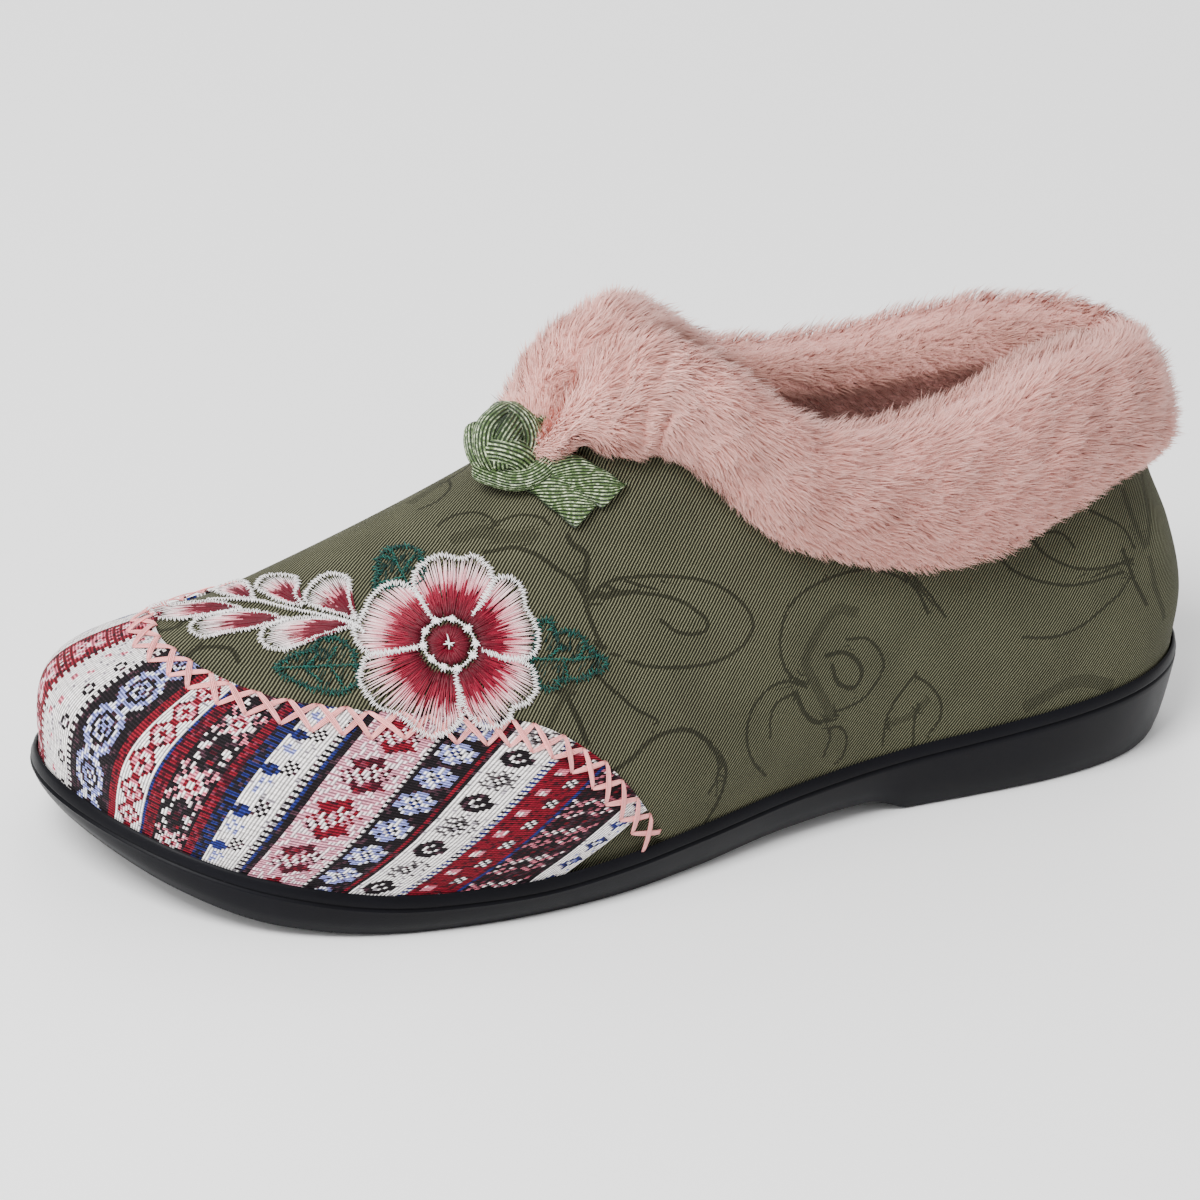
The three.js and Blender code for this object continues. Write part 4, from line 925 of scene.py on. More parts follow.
def furStrands(name, count, wayFrom, wayTo, length, seed):
    random = np.random.default_rng(seed)
    turn = random.uniform(0, 360, count)
    way = random.uniform(wayFrom, wayTo, count)
    root = furPoint(turn, way, fur["bed"] - fur["sink"], fur["sinkRise"])
    ahead = unit(furPoint(turn + 0.4, way) - furPoint(turn - 0.4, way))
    up = unit(furPoint(turn, np.minimum(way + 0.01, 1)) - furPoint(turn, np.maximum(way - 0.01, 0)))
    normal = unit(np.cross(up, ahead))
    back = -foldTurn(turn)[1][:, None] * ahead  # towards the heel on both sides
    outer = np.clip((0.42 - way) / 0.3, -0.5, 1)[:, None]
    low = np.clip((way - 0.05) / 0.16, 0, 1)[:, None]
    phase = np.stack([root @ d for d in np.array([[0.9, 0.3, 0.5], [-0.4, 0.9, 0.6], [0.5, -0.6, 0.9]])], 1)
    drift = (np.sin(phase * 0.75 + 1.3) + 0.7 * np.sin(phase[:, [1, 2, 0]] * 1.5 + 0.4)) * fur["drift"]
    comb = back * fur["back"] - up * outer * fur["down"] * low + drift + random.normal(0, fur["stray"], (count, 3))
    lengths = length * random.uniform(0.6, 1.15, count) * np.interp(way, [0, 0.07, 0.2], [0.5, 0.7, 1])
    lengths *= np.interp(foldTurn(turn)[0], [0, 150, 172, 177, 180], [1, 1, 0.85, 0.7, 0.55])
    s = np.linspace(0, 1, fur["steps"])
    paths = np.stack([root + (normal * (0.85 * t - 0.25 * t * t) + comb * (0.2 * t + 0.55 * t * t)) * lengths[:, None]
                      for t in s], 1)
    along = unit(np.gradient(paths, axis=1))
    across = unit(np.cross(along, normal[:, None, :] + 0.35 * random.normal(0, 1, (count, 1, 3))))
    wide = fur["width"] * random.uniform(0.8, 1.3, count)[:, None] * np.array([1.0, 0.95, 0.65, 0.0])
    edges = np.stack([paths - across * wide[..., None], paths + across * wide[..., None]], 2)
    points = np.concatenate([edges[:, :-1].reshape(count, -1, 3), paths[:, -1:]], 1)
    per = points.shape[1]
    strips = []
    for k in range(0, per - 3, 2):
        strips += [[k, k + 1, k + 3], [k, k + 3, k + 2]]
    strips.append([per - 3, per - 2, per - 1])
    faces = (np.array(strips)[None] + (np.arange(count) * per)[:, None, None]).reshape(-1, 3)
    piece = meshPiece(name, points.reshape(-1, 3), faces)
    # shade: a tone that varies in soft patches and hair by hair, plus painted shade, darker towards the collar's lower
    # edge and lighter towards its ridge
    patch = 0.5 + 0.25 * (np.sin(phase[:, 0] * 0.35) + np.sin(phase[:, 1] * 0.27 + 2))
    shade = np.clip(patch * 0.4 + random.uniform(0, 0.3, count) + 0.45 * np.clip(way / 0.4, 0, 1) - 0.1, 0, 1)
    # painted shade: hairs inside the collar blend to the darker inner colours
    inside = np.clip((way - 0.55) / 0.11, 0, 1)
    tone = np.tile([*np.repeat(s[:-1], 2), 1.0], count)
    pointValues(piece, "hair", withOne(np.stack([tone, np.repeat(shade, per), np.repeat(inside, per)], -1)))
    soft = normal[:, None] * 0.85 + along * 0.3  # the pile shades as one soft surface
    soft = unit(np.concatenate([np.repeat(soft[:, :-1], 2, axis=1), soft[:, -1:]], 1))
    piece.data.normals_split_custom_set_from_vertices(soft.reshape(-1, 3).tolist())
    return piece


def furFinish():
    finish, tree, shader = newFinish("pinkFur", 0.8, sheen=0.15, sheenTint=(1.0, 0.85, 0.82), specular=0.1)
    tone, shade, inside = addNode(tree, "SeparateColor", {0: storedValue(tree, "hair")}).outputs
    # root to tip: painted shade deep in the pile, painted highlight at the tips
    colour = mixColour(remap(tone, 0.0, 0.55), fur["root"], fur["middle"])
    colour = mixColour(remap(tone, 0.5, 1.0), colour, fur["tip"])
    colour = mixColour(inside, colour, mixColour(remap(tone, 0.0, 1.0), fur["shadedInnerRoot"], fur["shadedInnerTip"]))
    paint(shader, mixColour(1.0, colour, mixColour(shade, (0.84, 0.76, 0.74), (1.06, 1.06, 1.06)), "MULTIPLY"))
    return finish


furMaterial = furFinish()
# count of the hairs, way along the section from and to, and their length in mm
for k, (name, *sizes) in enumerate((("fur_outer_low", 38500, 0.03, 0.36, 4.6),
                                    ("fur_outer_high", 39000, 0.36, 0.74, 4.6),
                                    ("fur_inner", 16000, 0.72, 0.99, 4.2))):
    finishPiece(furStrands(name, *sizes, fur["seed"] + k), furMaterial, None, "collar_fur")

# Embroidery. The charts of the flower give mm to the toe and mm up from its centre on the vamp
flower = {"turn": 134.402, "reach": 58.46, "toe": (0.9521, -0.3045, -0.0273), "up": (-0.1986, -0.6839, 0.7021),
          "wide": 0.15, "thick": 0.13, "from": 5.1, "farLeast": 7, "edgeGap": 0.4, "shortest": 0.8, "sideGap": 0.05,
          "stray": 0.010, "seed": 11}
floss = {"white": (0.88, 0.85, 0.85), "pale": (0.8, 0.4, 0.43), "blush": (0.87, 0.69, 0.7), "pink": (0.56, 0.1, 0.16),
         "rose": (0.26, 0.007, 0.028), "red": (0.13, 0.0015, 0.012), "deep": (0.06, 0.001, 0.007),
         "teal": (0.006, 0.07, 0.055), "tealDark": (0.004, 0.026, 0.022), "border": (0.94, 0.36, 0.35)}
petalCharts = [
    pairs(3.1, 6, 4.9, 10.2, 5.4, 13.6, 4.3, 16.1, 1.9, 18.1, -0.7, 18.7, -2.7, 18, -4.1, 17.4, -6.3, 18.1, -8.3,
          16.2, -9.3, 13.7, -9, 11.3, -6.9, 8.3, -4.9, 5.6),
    pairs(-5.3, 6, -8.1, 9.8, -9.8, 12.5, -12, 13.2, -14.2, 11.9, -15.1, 9.2, -15.3, 7, -16.7, 4.3, -17.3, 1.8, -16.7,
          -1.2, -14.4, -2.7, -10.7, -2.7, -6.3, -1.2),
    pairs(-7, -1.6, -10.7, -2.7, -14.4, -3.4, -16.2, -5.5, -16.4, -8.4, -14.8, -10.9, -11.7, -12.1, -10.9, -14, -8.5,
          -15.9, -5.5, -16.3, -3.7, -15.3, -2.3, -12.3, -1.4, -8.6, -0.9, -5.7),
    pairs(-0.9, -5.7, -1, -9.4, -1.2, -12.3, -1.1, -15, 1.3, -17.3, 4.8, -18.5, 8, -17, 10.8, -14.3, 14.3, -12.4,
          16.3, -9.6, 17.5, -6.8, 16.6, -3.7, 15, -1.8, 11.3, -1.2, 6.2, -0.6),
    pairs(6.1, -0.4, 10.6, -1.2, 14.9, -1.4, 17.3, 1.1, 17.4, 4, 15.6, 6.8, 13.9, 10.1, 11.1, 12.9, 8.5, 13.3, 6.2,
          12, 4.6, 9.7, 3.7, 7.2, 2.5, 4.7)]
dotChart = pairs(2.1, 4.7, -1, 5, -3.8, 3, -5.1, 0.1, -4.4, -2.3, -1.3, -4.9, 1.3, -4.5, 3.6, -3, 5, -0.3, 4.3, 2.6)
starChart = pairs(0.25, 2, -1.15, 0.2, 0.1, -1.1, 1.15, -0.1, 0.1, 1.4, -0.7, -0.5, 0.7, 0.5)
leafCharts = [
    [pairs(-15.6, -2.6, -16.9, 1, -17.8, 4.3, -20, 4.7, -20.7, 2.2, -23.7, 2.6, -25.9, 1.6, -27.4, -0.5, -30.8, -2.9,
           -28, -5.1, -24.9, -6.3, -21.4, -6.4, -19.9, -8.3, -17.2, -7.7),
     pairs(-15.5, -2.8, -20.1, -2.7, -24.3, -2.6, -28.1, -1.9),
     pairs(-19.3, -2.2, -21.7, -0.5),
     pairs(-22.3, -3.2, -22.8, -5.9),
     pairs(-25, -2.4, -26.2, -0.6)],
    [pairs(12.9, 12.7, 11.9, 16.2, 11.4, 19, 9.3, 21.5, 6.8, 22, 4.4, 21.2, 3.3, 18.7, 3.3, 15.2, 5, 12.7),
     pairs(6.7, 13.3, 7.7, 17, 8.6, 21.4),
     pairs(7.1, 16, 4.6, 19.4),
     pairs(8.2, 18.9, 10.2, 20.2),
     pairs(7.3, 14.7, 11.3, 13.8)],
    [pairs(18, -1.2, 20.2, 1.7, 23.9, 2.6, 25.5, 0.5, 29.5, -0.9, 32.8, -3.3, 29.5, -6.4, 24.8, -8.5, 21, -9, 18, -7),
     pairs(32.8, -3.3, 24.4, -3.5, 17.2, -3.6),
     pairs(27.3, -3.5, 24.7, -1),
     pairs(23.5, -3.5, 21.3, 0.1),
     pairs(27.3, -3.8, 24.7, -6.7),
     pairs(22.5, -3.9, 20.9, -7.4)]]
budCharts = [
    pairs(17.5, 4.7, 22.1, 6.7, 27.2, 7.3, 32, 6.8, 34.6, 5, 34.4, 2, 31.7, 0.5, 28.3, 1.3, 23.9, 3.1),
    pairs(29.6, 7.5, 33.6, 9.5, 38.5, 11.2, 43.7, 11.1, 46.7, 9.7, 47, 7.2, 44.8, 5.5, 41.5, 6.2, 37.7, 6.1, 33.9, 6.7),
    pairs(37.5, 11.5, 41.3, 14.2, 45.6, 16.2, 49.9, 17.4, 53.1, 15.7, 52.6, 13.2, 49.2, 11.5, 45.4, 11.6, 41.8, 11.3),
    pairs(16.9, 6.2, 20.1, 7.7, 24.1, 9.7, 25.8, 11.8, 24.4, 14.8, 22.3, 16.7, 19.4, 17.2, 17.3, 15.2, 17.7, 11.9,
          17.6, 8.9),
    pairs(26.4, 10.3, 30.4, 12.2, 33.3, 15.3, 34, 17, 32.2, 19.3, 29.4, 19.1, 26.9, 17.7, 26.7, 15.2, 27.4, 13.3),
    pairs(34.9, 13.2, 39.2, 15.9, 41.2, 18.6, 40, 20.8, 37, 20.4, 35.6, 18.4, 35.2, 15.9)]
stemChart = pairs(15.7, 3, 17.5, 5.1, 22.5, 7.3, 29.3, 10.1, 33.7, 12.5, 37.7, 14, 42.9, 15.7)
flowerCentre = skin(flower["turn"], flower["reach"])
flowerAxes = np.array([flower["toe"], flower["up"]])
stitchChance = np.random.default_rng(flower["seed"])
stitchPieces = []


def addThreads(*threads):
    stitchPieces.append(threadMesh("stitches_%02d" % len(stitchPieces), *threads))


def flowerChart(turn, reach):
    return (skin(turn, reach) - flowerCentre) @ flowerAxes.T


def onFlower(chart, lift):
    shape = chart.shape[:-1]
    turn, reach = solveOn(flowerChart, chart.reshape(-1, 2), np.arange(96, 190, 1.5), np.arange(16, 104, 2.5))
    below = capEdge(turn) - reach
    step = capProud * np.clip(below / 0.8 + 0.5, 0, 1)
    crossed = 0.55 * np.clip(below / 1.2 + 0.6, 0, 1) * np.clip((7.2 - below) / 1.2, 0, 1)
    lifts = np.broadcast_to(lift, shape).reshape(-1)
    return skin(turn, reach, lifts + step + crossed).reshape(*shape, 3), skinNormal(turn, reach).reshape(*shape, 3)


def flowerThreads(starts, ends, steps, lift, wide, thick, colours, arch=0.12, noise=0.1):
    s = np.linspace(0, 1, steps)[:, None]
    chart = starts[:, None] * (1 - s) + ends[:, None] * s
    height = lift + arch * np.sin(np.pi * s[:, 0]) + stitchChance.uniform(-0.05, 0.08, (len(starts), 1))
    paths, ups = onFlower(chart, height)
    fromColour, toColour = [np.array(floss[name]) for name in colours]
    luck = stitchChance.uniform(1 - noise, 1 + noise, (len(starts), 1, 1))
    addThreads(paths, ups, wide, thick, (fromColour * (1 - s) + toColour * s)[None] * luck)


def satinLine(line, width, gap, lift, colour, slant=0.25, noise=0.12, ragged=0.25):
    curve = evenSteps(throughPoints(line, 12) if len(line) > 2 else line, gap)
    along = unit(np.gradient(curve, axis=0))
    side = np.stack([-along[:, 1], along[:, 0]], -1)
    n = len(curve)
    reachA, reachB = [width / 2 * (1 + stitchChance.uniform(-ragged, ragged, (n, 1))) for _ in range(2)]
    lean = along * width * slant * np.where(np.arange(n) % 2, 1, -0.6)[:, None]
    flowerThreads(curve - side * reachA - lean, curve + side * reachB + lean, 3, lift, flower["wide"],
                  flower["thick"], (colour, colour), 0.2, noise)


def aroundCentre(points):  # angle and distance
    return np.arctan2(points[:, 1], points[:, 0]), np.hypot(points[:, 0], points[:, 1])


def wayTo(angle):
    return np.stack([np.cos(angle), np.sin(angle)], -1)


def outerWay(chart, angle):  # how far the petal reaches in a direction from the centre
    around, away = aroundCentre(throughPoints(chart, 14, True))
    gap = np.abs((around[None] - angle[:, None] + np.pi) % (2 * np.pi) - np.pi)
    return np.where(gap < 0.05, away[None], 0).max(1)


def closedLine(line):
    return np.vstack([line, line[:1]])


# count, start and end as shares of the petal, width, colours and height of each layer, from below
petalLayers = ((52, (0.56, 0.74), (0.93, 1.0), 0.15, ("pale", "blush"), 0.42),
               (50, (0.48, 0.66), (0.80, 0.97), 0.14, ("pink", "pale"), 0.46),
               (50, (0.32, 0.40), (0.60, 0.86), 0.17, ("red", "rose"), 0.52),
               (40, (0.30, 0.33), (0.44, 0.66), 0.19, ("deep", "red"), 0.58))
budLayers = (((0.4, 0.65), (0.9, 0.97), ("pale", "white"), 0.4), ((0.25, 0.5), (0.6, 0.9), ("pink", "pale"), 0.46),
             ((0.03, 0.12), (0.55, 0.88), ("deep", "red"), 0.54))
for chart in petalCharts:
    middle = np.arctan2(*np.mean(chart, 0)[::-1])
    around = (aroundCentre(throughPoints(chart, 14, True))[0] - middle + np.pi) % (2 * np.pi) - np.pi
    low, high = around.min(), around.max()
    for count, fromShare, toShare, wide, colours, height in petalLayers:
        angle = np.linspace(low + flower["sideGap"], high - flower["sideGap"], count)
        angle = angle + stitchChance.normal(0, flower["stray"], count)
        far = outerWay(chart, middle + angle)
        angle, far = angle[far > flower["farLeast"]], far[far > flower["farLeast"]]
        way = wayTo(middle + angle)
        begin = np.maximum(stitchChance.uniform(*fromShare, len(far)) * far.mean(), flower["from"])
        end = stitchChance.uniform(*toShare, len(far)) * (far if sum(toShare) / 2 > 0.9 else far.mean())
        end = np.minimum(end, far - flower["edgeGap"])
        good = end > begin + flower["shortest"]
        flowerThreads(way[good] * begin[good, None], way[good] * end[good, None], 4, height, wide,
                      flower["thick"], colours, 0.1, 0.14)
    satinLine(chart[:-1], 1.3, 0.34, 0.62, "white", 0.12, ragged=0.45)
    satinLine(chart[-2:], 1.0, 0.34, 0.62, "white", 0.12, ragged=0.4)
ringWays = wayTo(np.linspace(0, 2 * np.pi, 90, endpoint=False))
flowerThreads(ringWays * stitchChance.uniform(0.4, 1.6, (90, 1)), ringWays * stitchChance.uniform(3.9, 4.6, (90, 1)),
              4, 0.5, 0.2, 0.15, ("red", "deep"), 0.1, 0.2)
for k, dot in enumerate(dotChart):
    away = wayTo(np.arange(9) * 2 * np.pi / 9 + k) * stitchChance.uniform(0.7, 1.15, (9, 1))
    flowerThreads(dot - away * 0.25, dot + away, 4, 0.78, 0.2, 0.18, ("white", "white"), 0.15, 0.06)
satinLine(closedLine(dotChart), 0.75, 0.3, 0.6, "white", 0.3)
flowerThreads(-0.2 * starChart, starChart, 4, 0.85, 0.17, 0.16, ("white", "white"), 0.12, 0.05)
for outline, *veins in leafCharts:
    curve = throughPoints(outline, 10, True)
    pick = stitchChance.integers(0, len(curve), 110)
    toCentre = np.mean(outline, 0) - curve[pick]
    begin = curve[pick] + toCentre * stitchChance.uniform(0.1, 0.8, (110, 1))
    lean = np.array([-0.5, 1.0]) * stitchChance.uniform(0.7, 1.5, (110, 1))
    flowerThreads(begin - lean * 0.5, begin + lean * 0.5, 4, 0.28, 0.1, 0.08, ("tealDark", "tealDark"))
    satinLine(closedLine(outline), 1.35, 0.36, 0.36, "teal", 0.3, 0.5, 0.75)
    satinLine(closedLine(outline), 0.6, 0.4, 0.46, "tealDark", 0.9, 0.5, 0.5)
    for vein in veins:
        satinLine(vein, 0.6, 0.36, 0.4, "teal", 0.8, 0.5, 0.5)
for outline in budCharts:
    base = outline[0]
    curve = evenSteps(throughPoints(outline, 12, True), 0.24)
    far = curve[np.linalg.norm(curve - base, axis=1) > 2.6][::2] - base
    for fromShare, toShare, colours, height in budLayers:
        begin, end = [base + far * stitchChance.uniform(*share, (len(far), 1)) for share in (fromShare, toShare)]
        flowerThreads(begin, end, 4, height, flower["wide"], flower["thick"], colours, 0.08, 0.14)
    satinLine(closedLine(outline), 1.15, 0.34, 0.55, "white", 0.12, ragged=0.45)
satinLine(stemChart, 1.0, 0.27, 0.6, "white", 0.2)

# Crossed stitches along the edge of the toe cap
crossStitch = {"pitch": 5.3, "height": 5.6, "over": 0.2, "yarns": 4, "width": 0.84, "from": 97.6, "to": 262.4,
               "steps": 9}
edgeTurns = np.linspace(crossStitch["from"], crossStitch["to"], 700)
edgeReach = capReachAt(foldTurn(edgeTurns)[0])
edgeLine = clothAt(edgeTurns, edgeReach)
edgeWay = wayOf(skin(edgeTurns, edgeReach))
crossCount = int(edgeWay[-1] // crossStitch["pitch"])
stops = np.linspace(0, edgeWay[-1], crossCount + 1)
edgeAt = np.stack([np.interp(stops, edgeWay, edgeLine[:, k]) for k in (0, 1)], -1)
edgeDirection = np.gradient(edgeAt, axis=0)
clothScale = np.linalg.norm(edgeDirection, axis=1, keepdims=True) / (edgeWay[-1] / crossCount)
edgeDirection = unit(edgeDirection)
inward = np.stack([-edgeDirection[:, 1], edgeDirection[:, 0]], -1) * clothScale
highs = edgeAt - inward * crossStitch["over"] + stitchChance.normal(0, 0.3, (crossCount + 1, 2))
lows = edgeAt + inward * crossStitch["height"] + stitchChance.normal(0, 0.35, (crossCount + 1, 2))
s = np.linspace(0, 1, crossStitch["steps"])
shape = (crossCount, crossStitch["steps"], 3)
for layer, (starts, ends) in enumerate(((highs[:-1], lows[1:]), (lows[:-1], highs[1:]))):
    way = unit(ends - starts)
    side = np.stack([-way[:, 1], way[:, 0]], -1)
    for k in range(crossStitch["yarns"]):
        spread = (k / (crossStitch["yarns"] - 1) - 0.5) * crossStitch["width"]
        fan = spread * (0.55 + 0.45 * np.sin(np.pi * s))
        flat = starts[:, None] * (1 - s)[:, None] + ends[:, None] * s[:, None] + side[:, None] * fan[:, None]
        turn, reach = solveOn(clothAt, flat.reshape(-1, 2), np.arange(90, 271, 1.5), np.arange(-6, 46, 2.0))
        proud = capProud * np.clip((capEdge(turn) - reach) / 0.8 + 0.5, 0, 1)
        lift = proud + 0.22 + (0.28 + 0.3 * layer) * np.tile(np.sin(np.pi * s) ** 0.7, crossCount)
        colours = np.array(floss["border"]) * stitchChance.uniform(0.72, 1.16, (crossCount, 1, 1))
        addThreads(skin(turn, reach, lift).reshape(shape), skinNormal(turn, reach).reshape(shape), 0.15, 0.17,
                   np.broadcast_to(colours, shape))


def flossFinish():
    finish, tree, shader = newFinish("shinyFloss", 0.45, specular=0.22)
    grain = mixColour(objectNoise(tree, 2200.0, 2.0), (0.78, 0.78, 0.78), (1.15, 1.15, 1.15))
    paint(shader, mixColour(1.0, storedValue(tree, "yarn"), grain, "MULTIPLY"))
    return finish


finishPiece(joinPieces(stitchPieces, "embroidery"), flossFinish(), None, "upper_twill")

# Frog fastening: flat cords on both sides, a knotted ball and its loop
frog = {"half": 3.2, "thick": 1.35, "cord": 3.25, "ball": 6.0, "tab": 1.2, "endRound": 1.1, "lobe": 0.025,
        "shadeTo": 6.7, "shadeOver": 1.3, "tabWeave": (48, 15, -0.95, 0.9), "knotWeave": (60, 24, 0.12, 0.6),
        "centre": np.array((157.0, -0.55, 78.6)),
        "axes": np.array([(0.8511, -0.1103, -0.5133), (0.0898, 0.9939, -0.0647), (0.5968, -0.0017, 0.8024)])}
# skew of the cut end, then turn, reach, lift and roundness of each flat cord, from its cut end to the knot
tabRows = [
    [-0.3, (148.3, 107.45, 0, 0), (157.52, 111.69, 0, 0), (164.14, 113.33, 0, 0.1), (169.81, 114.11, 0.3, 0.4),
     (175.21, 112.8, 1.6, 1.2)],
    [-0.6, (145.2, 112.3, 0, 0), (155.17, 117.14, 0, 0), (161.34, 118.74, 0.1, 0.1), (166.51, 119.38, 0.4, 0.4),
     (173.0, 118.4, 2, 1.2)]]
# size of each wrap of the knot and width of its cord as shares, then its points from the ball's centre
knotWraps = [
    [0.92, 1.0, (-4.6, -4.1, 1.2), (-2.0, -1.5, 4.5), (1.5, 0.5, 5.1), (3.6, 2.2, 3.5), (4.3, 3.3, 0.9),
     (3.7, 2.7, -2.7)],
    [0.92, 1.0, (-1.6, -5.4, 2.8), (-3.4, -1.3, 3.7), (-4.4, 1.9, 2.6), (-3.6, 4.0, 0.4), (-1.3, 5.0, -1.3),
     (1.6, 4.4, -2.4)],
    [0.92, 1.0, (4.9, -1.8, 1.4), (3.8, 2.6, 2.5), (1.8, 4.9, 2.1), (0.0, 5.9, 0.0), (-0.5, 5.4, -3.2),
     (0.1, 3.2, -5.6)],
    [0.92, 1.0, (-4.0, 0.2, 3.2), (-1.8, 2.7, 3.6), (0.3, 3.9, 3.1), (2.6, 4.6, 1.3), (3.4, 4.6, -1.0)],
    [0.92, 1.0, (3.1, -4.1, 3.5), (4.9, -1.2, 2.7), (5.8, 0.6, 1.0), (5.5, 1.5, -1.7)],
    [1.0, 0.75, (-6.4, -3.5, -1.9), (-7.4, 0.9, -2.8), (-6.2, 4.9, -3.5), (-3.5, 7.7, -4.1), (0.3, 8.2, -4.2),
     (3.6, 6.6, -3.6), (6.2, 3.7, -2.2), (7.8, 0.4, -1.6)]]


def braidedTube(name, centre, ups, halfWide, halfThick, sides, threads, slant, endTaper, skew=0.0, core=None):
    # a flat cord of parallel threads, which the material draws from the count of threads round its section
    along = unit(np.gradient(centre, axis=0))
    side = unit(np.cross(along, ups))
    up = np.cross(side, along)
    rings = len(centre)
    way = wayOf(centre)
    ring = np.arange(sides)
    angle = 2 * np.pi * ring / sides - np.pi / 2
    count = threads * (angle[None] / (2 * np.pi) + 0.25) + slant * way[:, None]
    cap = np.minimum(np.minimum(way, way[-1] - way) / frog["endRound"], 1)
    grow = endTaper + (1 - endTaper) * np.sqrt(1 - (1 - cap) ** 2)
    bulge = 1 + frog["lobe"] * np.cos(2 * np.pi * count)
    points = (centre[:, None] + side[:, None] * (np.cos(angle)[None] * bulge * (halfWide * grow)[:, None])[..., None]
              + up[:, None] * (np.sin(angle)[None] * bulge * (halfThick * grow)[:, None])[..., None])
    points += along[:, None] * (skew * np.cos(angle)[None] * halfWide[:, None])[..., None]
    if core is None:  # painted shade: light on top of a flat cord, dark at its edges; in the knot, dark towards its middle, in the crevices between wraps
        light = np.broadcast_to(np.clip((1 - np.abs(np.cos(angle))) * 6, 0, 1), (rings, sides))
    else:
        light = np.clip((np.linalg.norm(points - core, axis=2) - frog["shadeTo"]) / frog["shadeOver"], 0, 1)
    points = np.concatenate([points.reshape(-1, 3), centre[:1], centre[-1:]])
    quads = tubeQuads(rings, sides)
    triangles = np.stack([quads[:, [0, 1, 2]], quads[:, [0, 2, 3]]], 1).reshape(-1, 3)
    after, end = (ring + 1) % sides, (rings - 1) * sides
    first = np.stack([np.full(sides, rings * sides), after, ring], -1)
    last = np.stack([np.full(sides, rings * sides + 1), end + ring, end + after], -1)
    piece = meshPiece(name, points, np.vstack([triangles, first, last]))
    onlyActive(piece)
    editAll(outward)
    values = np.zeros((len(points), 4))
    values[:rings * sides, :3] = np.stack([count.ravel(), np.repeat(way, sides), light.ravel()], -1)
    pointValues(piece, "cord", values)
    return piece


cordPieces = []
sides, threads, slant, endTaper = frog["tabWeave"]
for sign in (1, -1):
    for skew, *rows in tabRows:
        curve = evenSteps(throughPoints(rows, 20), 0.45)
        turn = curve[:, 0] if sign > 0 else 360 - curve[:, 0]
        flat = skin(turn, curve[:, 1], frog["tab"] + curve[:, 2])
        even = evenSteps(np.hstack([flat, curve[:, 3:4], turn[:, None], curve[:, 1:2]]), 0.5)
        rounded = np.clip(even[:, 3], 0, 1)
        cordPieces.append(braidedTube("tab", even[:, :3], skinNormal(even[:, 4], even[:, 5]),
                                      frog["half"] * (1 - 0.16 * rounded), frog["thick"] * (1 + 0.75 * rounded),
                                      sides, threads, slant * sign, endTaper, skew * sign))
for grow, wide, *rows in knotWraps:
    local = evenSteps(throughPoints(rows, 16), 0.6) * grow
    size = np.full(len(local), frog["cord"] * wide)
    cordPieces.append(braidedTube("knot", frog["centre"] + local @ frog["axes"], unit(local @ frog["axes"]), size,
                                  size * 0.92, *frog["knotWeave"], core=frog["centre"]))
bpy.ops.mesh.primitive_uv_sphere_add(segments=32, ring_count=16, radius=frog["ball"] / 1000,
                                     location=inPlace(frog["centre"]))
ballPiece = bpy.context.object
onlyActive(ballPiece)
bpy.ops.object.transform_apply(location=True, rotation=True, scale=True)
# the ball under the wraps has no light in its values: painted shade all over
pointValues(ballPiece, "cord", np.tile([0.0, 0, 0, 1.0], (len(ballPiece.data.vertices), 1)))


def cordFinish():
    finish, tree, shader = newFinish("greenBraid", 0.35, specular=0.35)
    count, way, light = addNode(tree, "SeparateColor", {0: storedValue(tree, "cord")}).outputs
    lobe = wave(count, 2 * math.pi, "COSINE")
    stagger = timesPlus(count, 0.35, timesPlus(calculate("ROUND", count), 0.37, way))
    dash = remap(wave(stagger, 11.0), -0.9, 0.7)
    # painted highlights: bright dashes on the threads' tops, scattered by noise
    paintedHighlight = times(remap(lobe, -0.1, 0.9), timesPlus(dash, 0.4, 0.6))
    paintedHighlight = times(paintedHighlight, remap(objectNoise(tree, 1100.0, 3.0), 0.42, 0.66))
    # painted shade: near black in the grooves between the threads
    colour = mixColour(remap(lobe, -0.95, 0.2), (0.002, 0.006, 0.002), (0.075, 0.13, 0.04))
    # painted shade: near black where the light value is low, at the cords' edges and in the knot's crevices
    colour = mixColour(light, (0.006, 0.012, 0.004), mixColour(paintedHighlight, colour, (0.78, 0.90, 0.58)))
    paint(shader, colour, calculate("ADD", lobe, times(dash, 0.5)), 0.7, 0.00025)
    return finish


frogPiece = joinPieces([*cordPieces, ballPiece], "frog_cords")
frogPiece.data.materials.clear()
finishPiece(frogPiece, cordFinish(), 60, "frog_cord", "frog_loop", "frog_button")

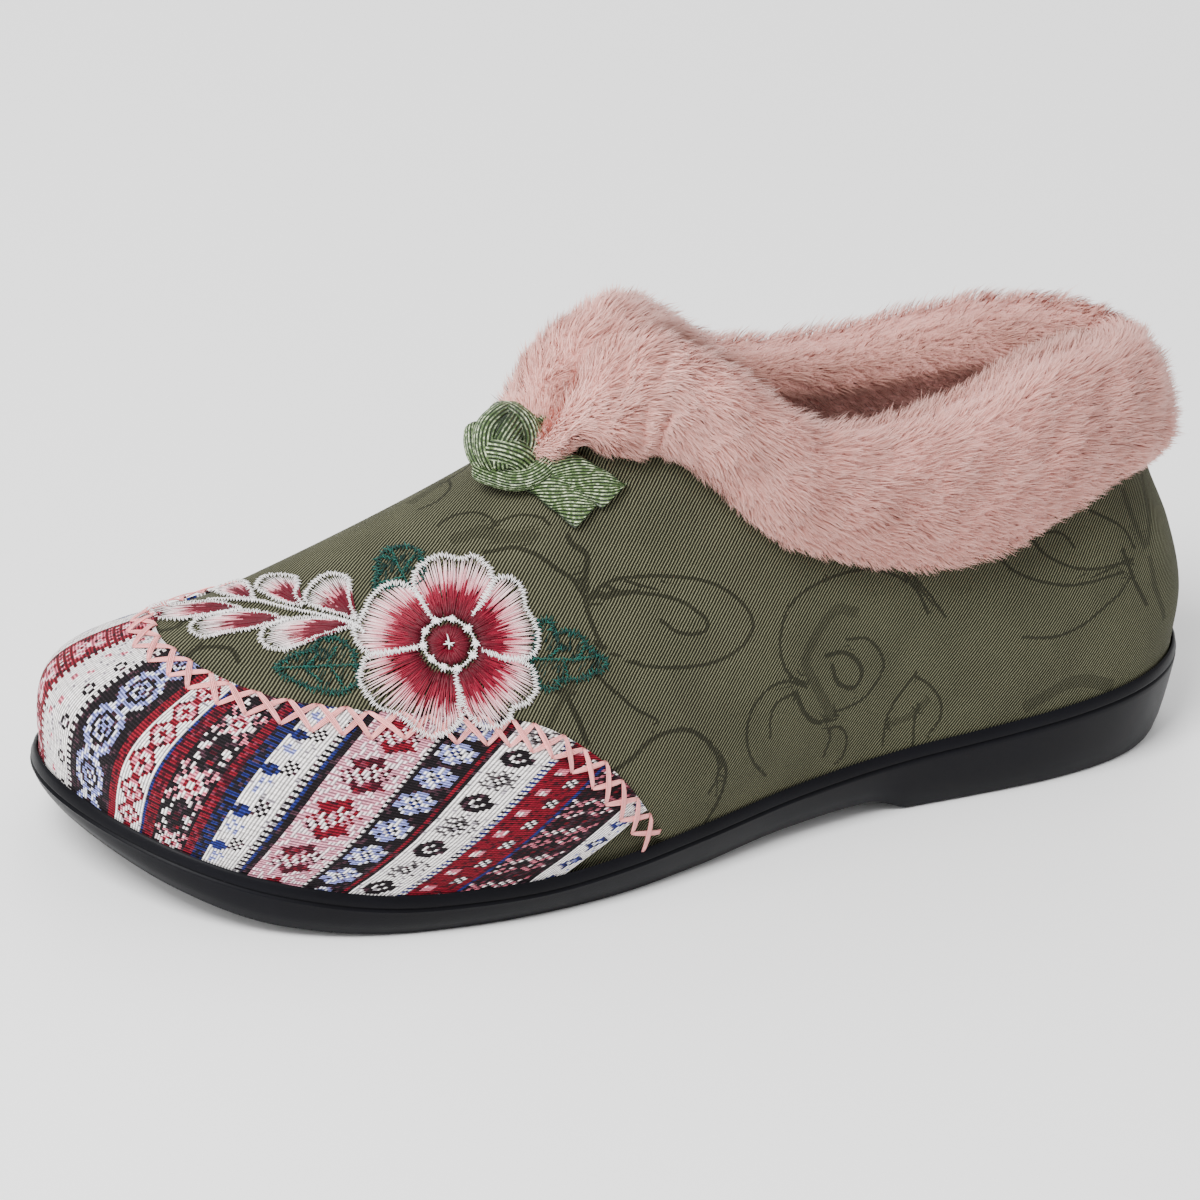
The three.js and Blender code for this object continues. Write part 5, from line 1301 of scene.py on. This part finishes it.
# Camera and studio. The camera looks at a point over the shoe's middle, in metres
cameraAt = {"aim": (0.125 - 0.0019 - 0.1235, -0.0026, 0.035), "far": 1.174, "angles": (30.45, 26.18, 6.0),
            "lens": 177.57, "sensor": 36, "near": 0.05, "shift": (-42.3 / 1200, 20.8 / 1200)}
studio = {"floor": (0.95, 0.95, 0.95), "floorSize": 6, "floorAt": (0, 0, -0.0002), "world": 0.86, "lookAt": 0.04,
          "lights": (("keyLight", (0.9, 0.5, 1.35), 0.7, 42), ("sideLight", (1.2, 0.2, 0.7), 0.8, 8),
                     ("backLight", (-0.5, -0.9, 1.0), 0.9, 7))}


def linkObject(name, data):
    made = bpy.data.objects.new(name, data)
    bpy.context.scene.collection.objects.link(made)
    return made


turn, lift, roll = [math.radians(angle) for angle in cameraAt["angles"]]
back = Vector((math.sin(turn) * math.cos(lift), math.cos(turn) * math.cos(lift), math.sin(lift)))
right = Vector((-math.cos(turn), math.sin(turn), 0))
up = right.cross(-back)
pose = Matrix((right * math.cos(roll) + up * math.sin(roll), up * math.cos(roll) - right * math.sin(roll), back))
pose = pose.transposed().to_4x4()
pose.translation = Vector(cameraAt["aim"]) + back * cameraAt["far"]
camera = bpy.data.cameras.new("photoCamera")
camera.lens = cameraAt["lens"]
camera.sensor_width = cameraAt["sensor"]
camera.shift_x, camera.shift_y = cameraAt["shift"]
camera.clip_start = cameraAt["near"]
bpy.context.scene.camera = linkObject("photoCamera", camera)
bpy.context.scene.camera.matrix_world = pose

bpy.ops.object.select_all(action="DESELECT")
bpy.ops.mesh.primitive_plane_add(size=studio["floorSize"], location=studio["floorAt"])
floor = bpy.context.object
floor.name = "floor"
floorMaterial, _, floorShader = newFinish("paleFloor", 0.9, specular=0.2)
floorShader.inputs["Base Color"].default_value = (*studio["floor"], 1)
floor.data.materials.append(floorMaterial)
world = bpy.data.worlds.new("studio")
world.use_nodes = True
background = world.node_tree.nodes["Background"]
background.inputs[0].default_value = (1, 1, 1, 1)
background.inputs[1].default_value = studio["world"]
bpy.context.scene.world = world
for name, place, size, power in studio["lights"]:
    light = bpy.data.lights.new(name, "AREA")
    light.size = size
    light.energy = power
    lamp = linkObject(name, light)
    lamp.location = place
    lamp.rotation_euler = (Vector((0, 0, studio["lookAt"])) - Vector(place)).to_track_quat("-Z", "Y").to_euler()
print("studio ready")

bpy.context.view_layer.update()
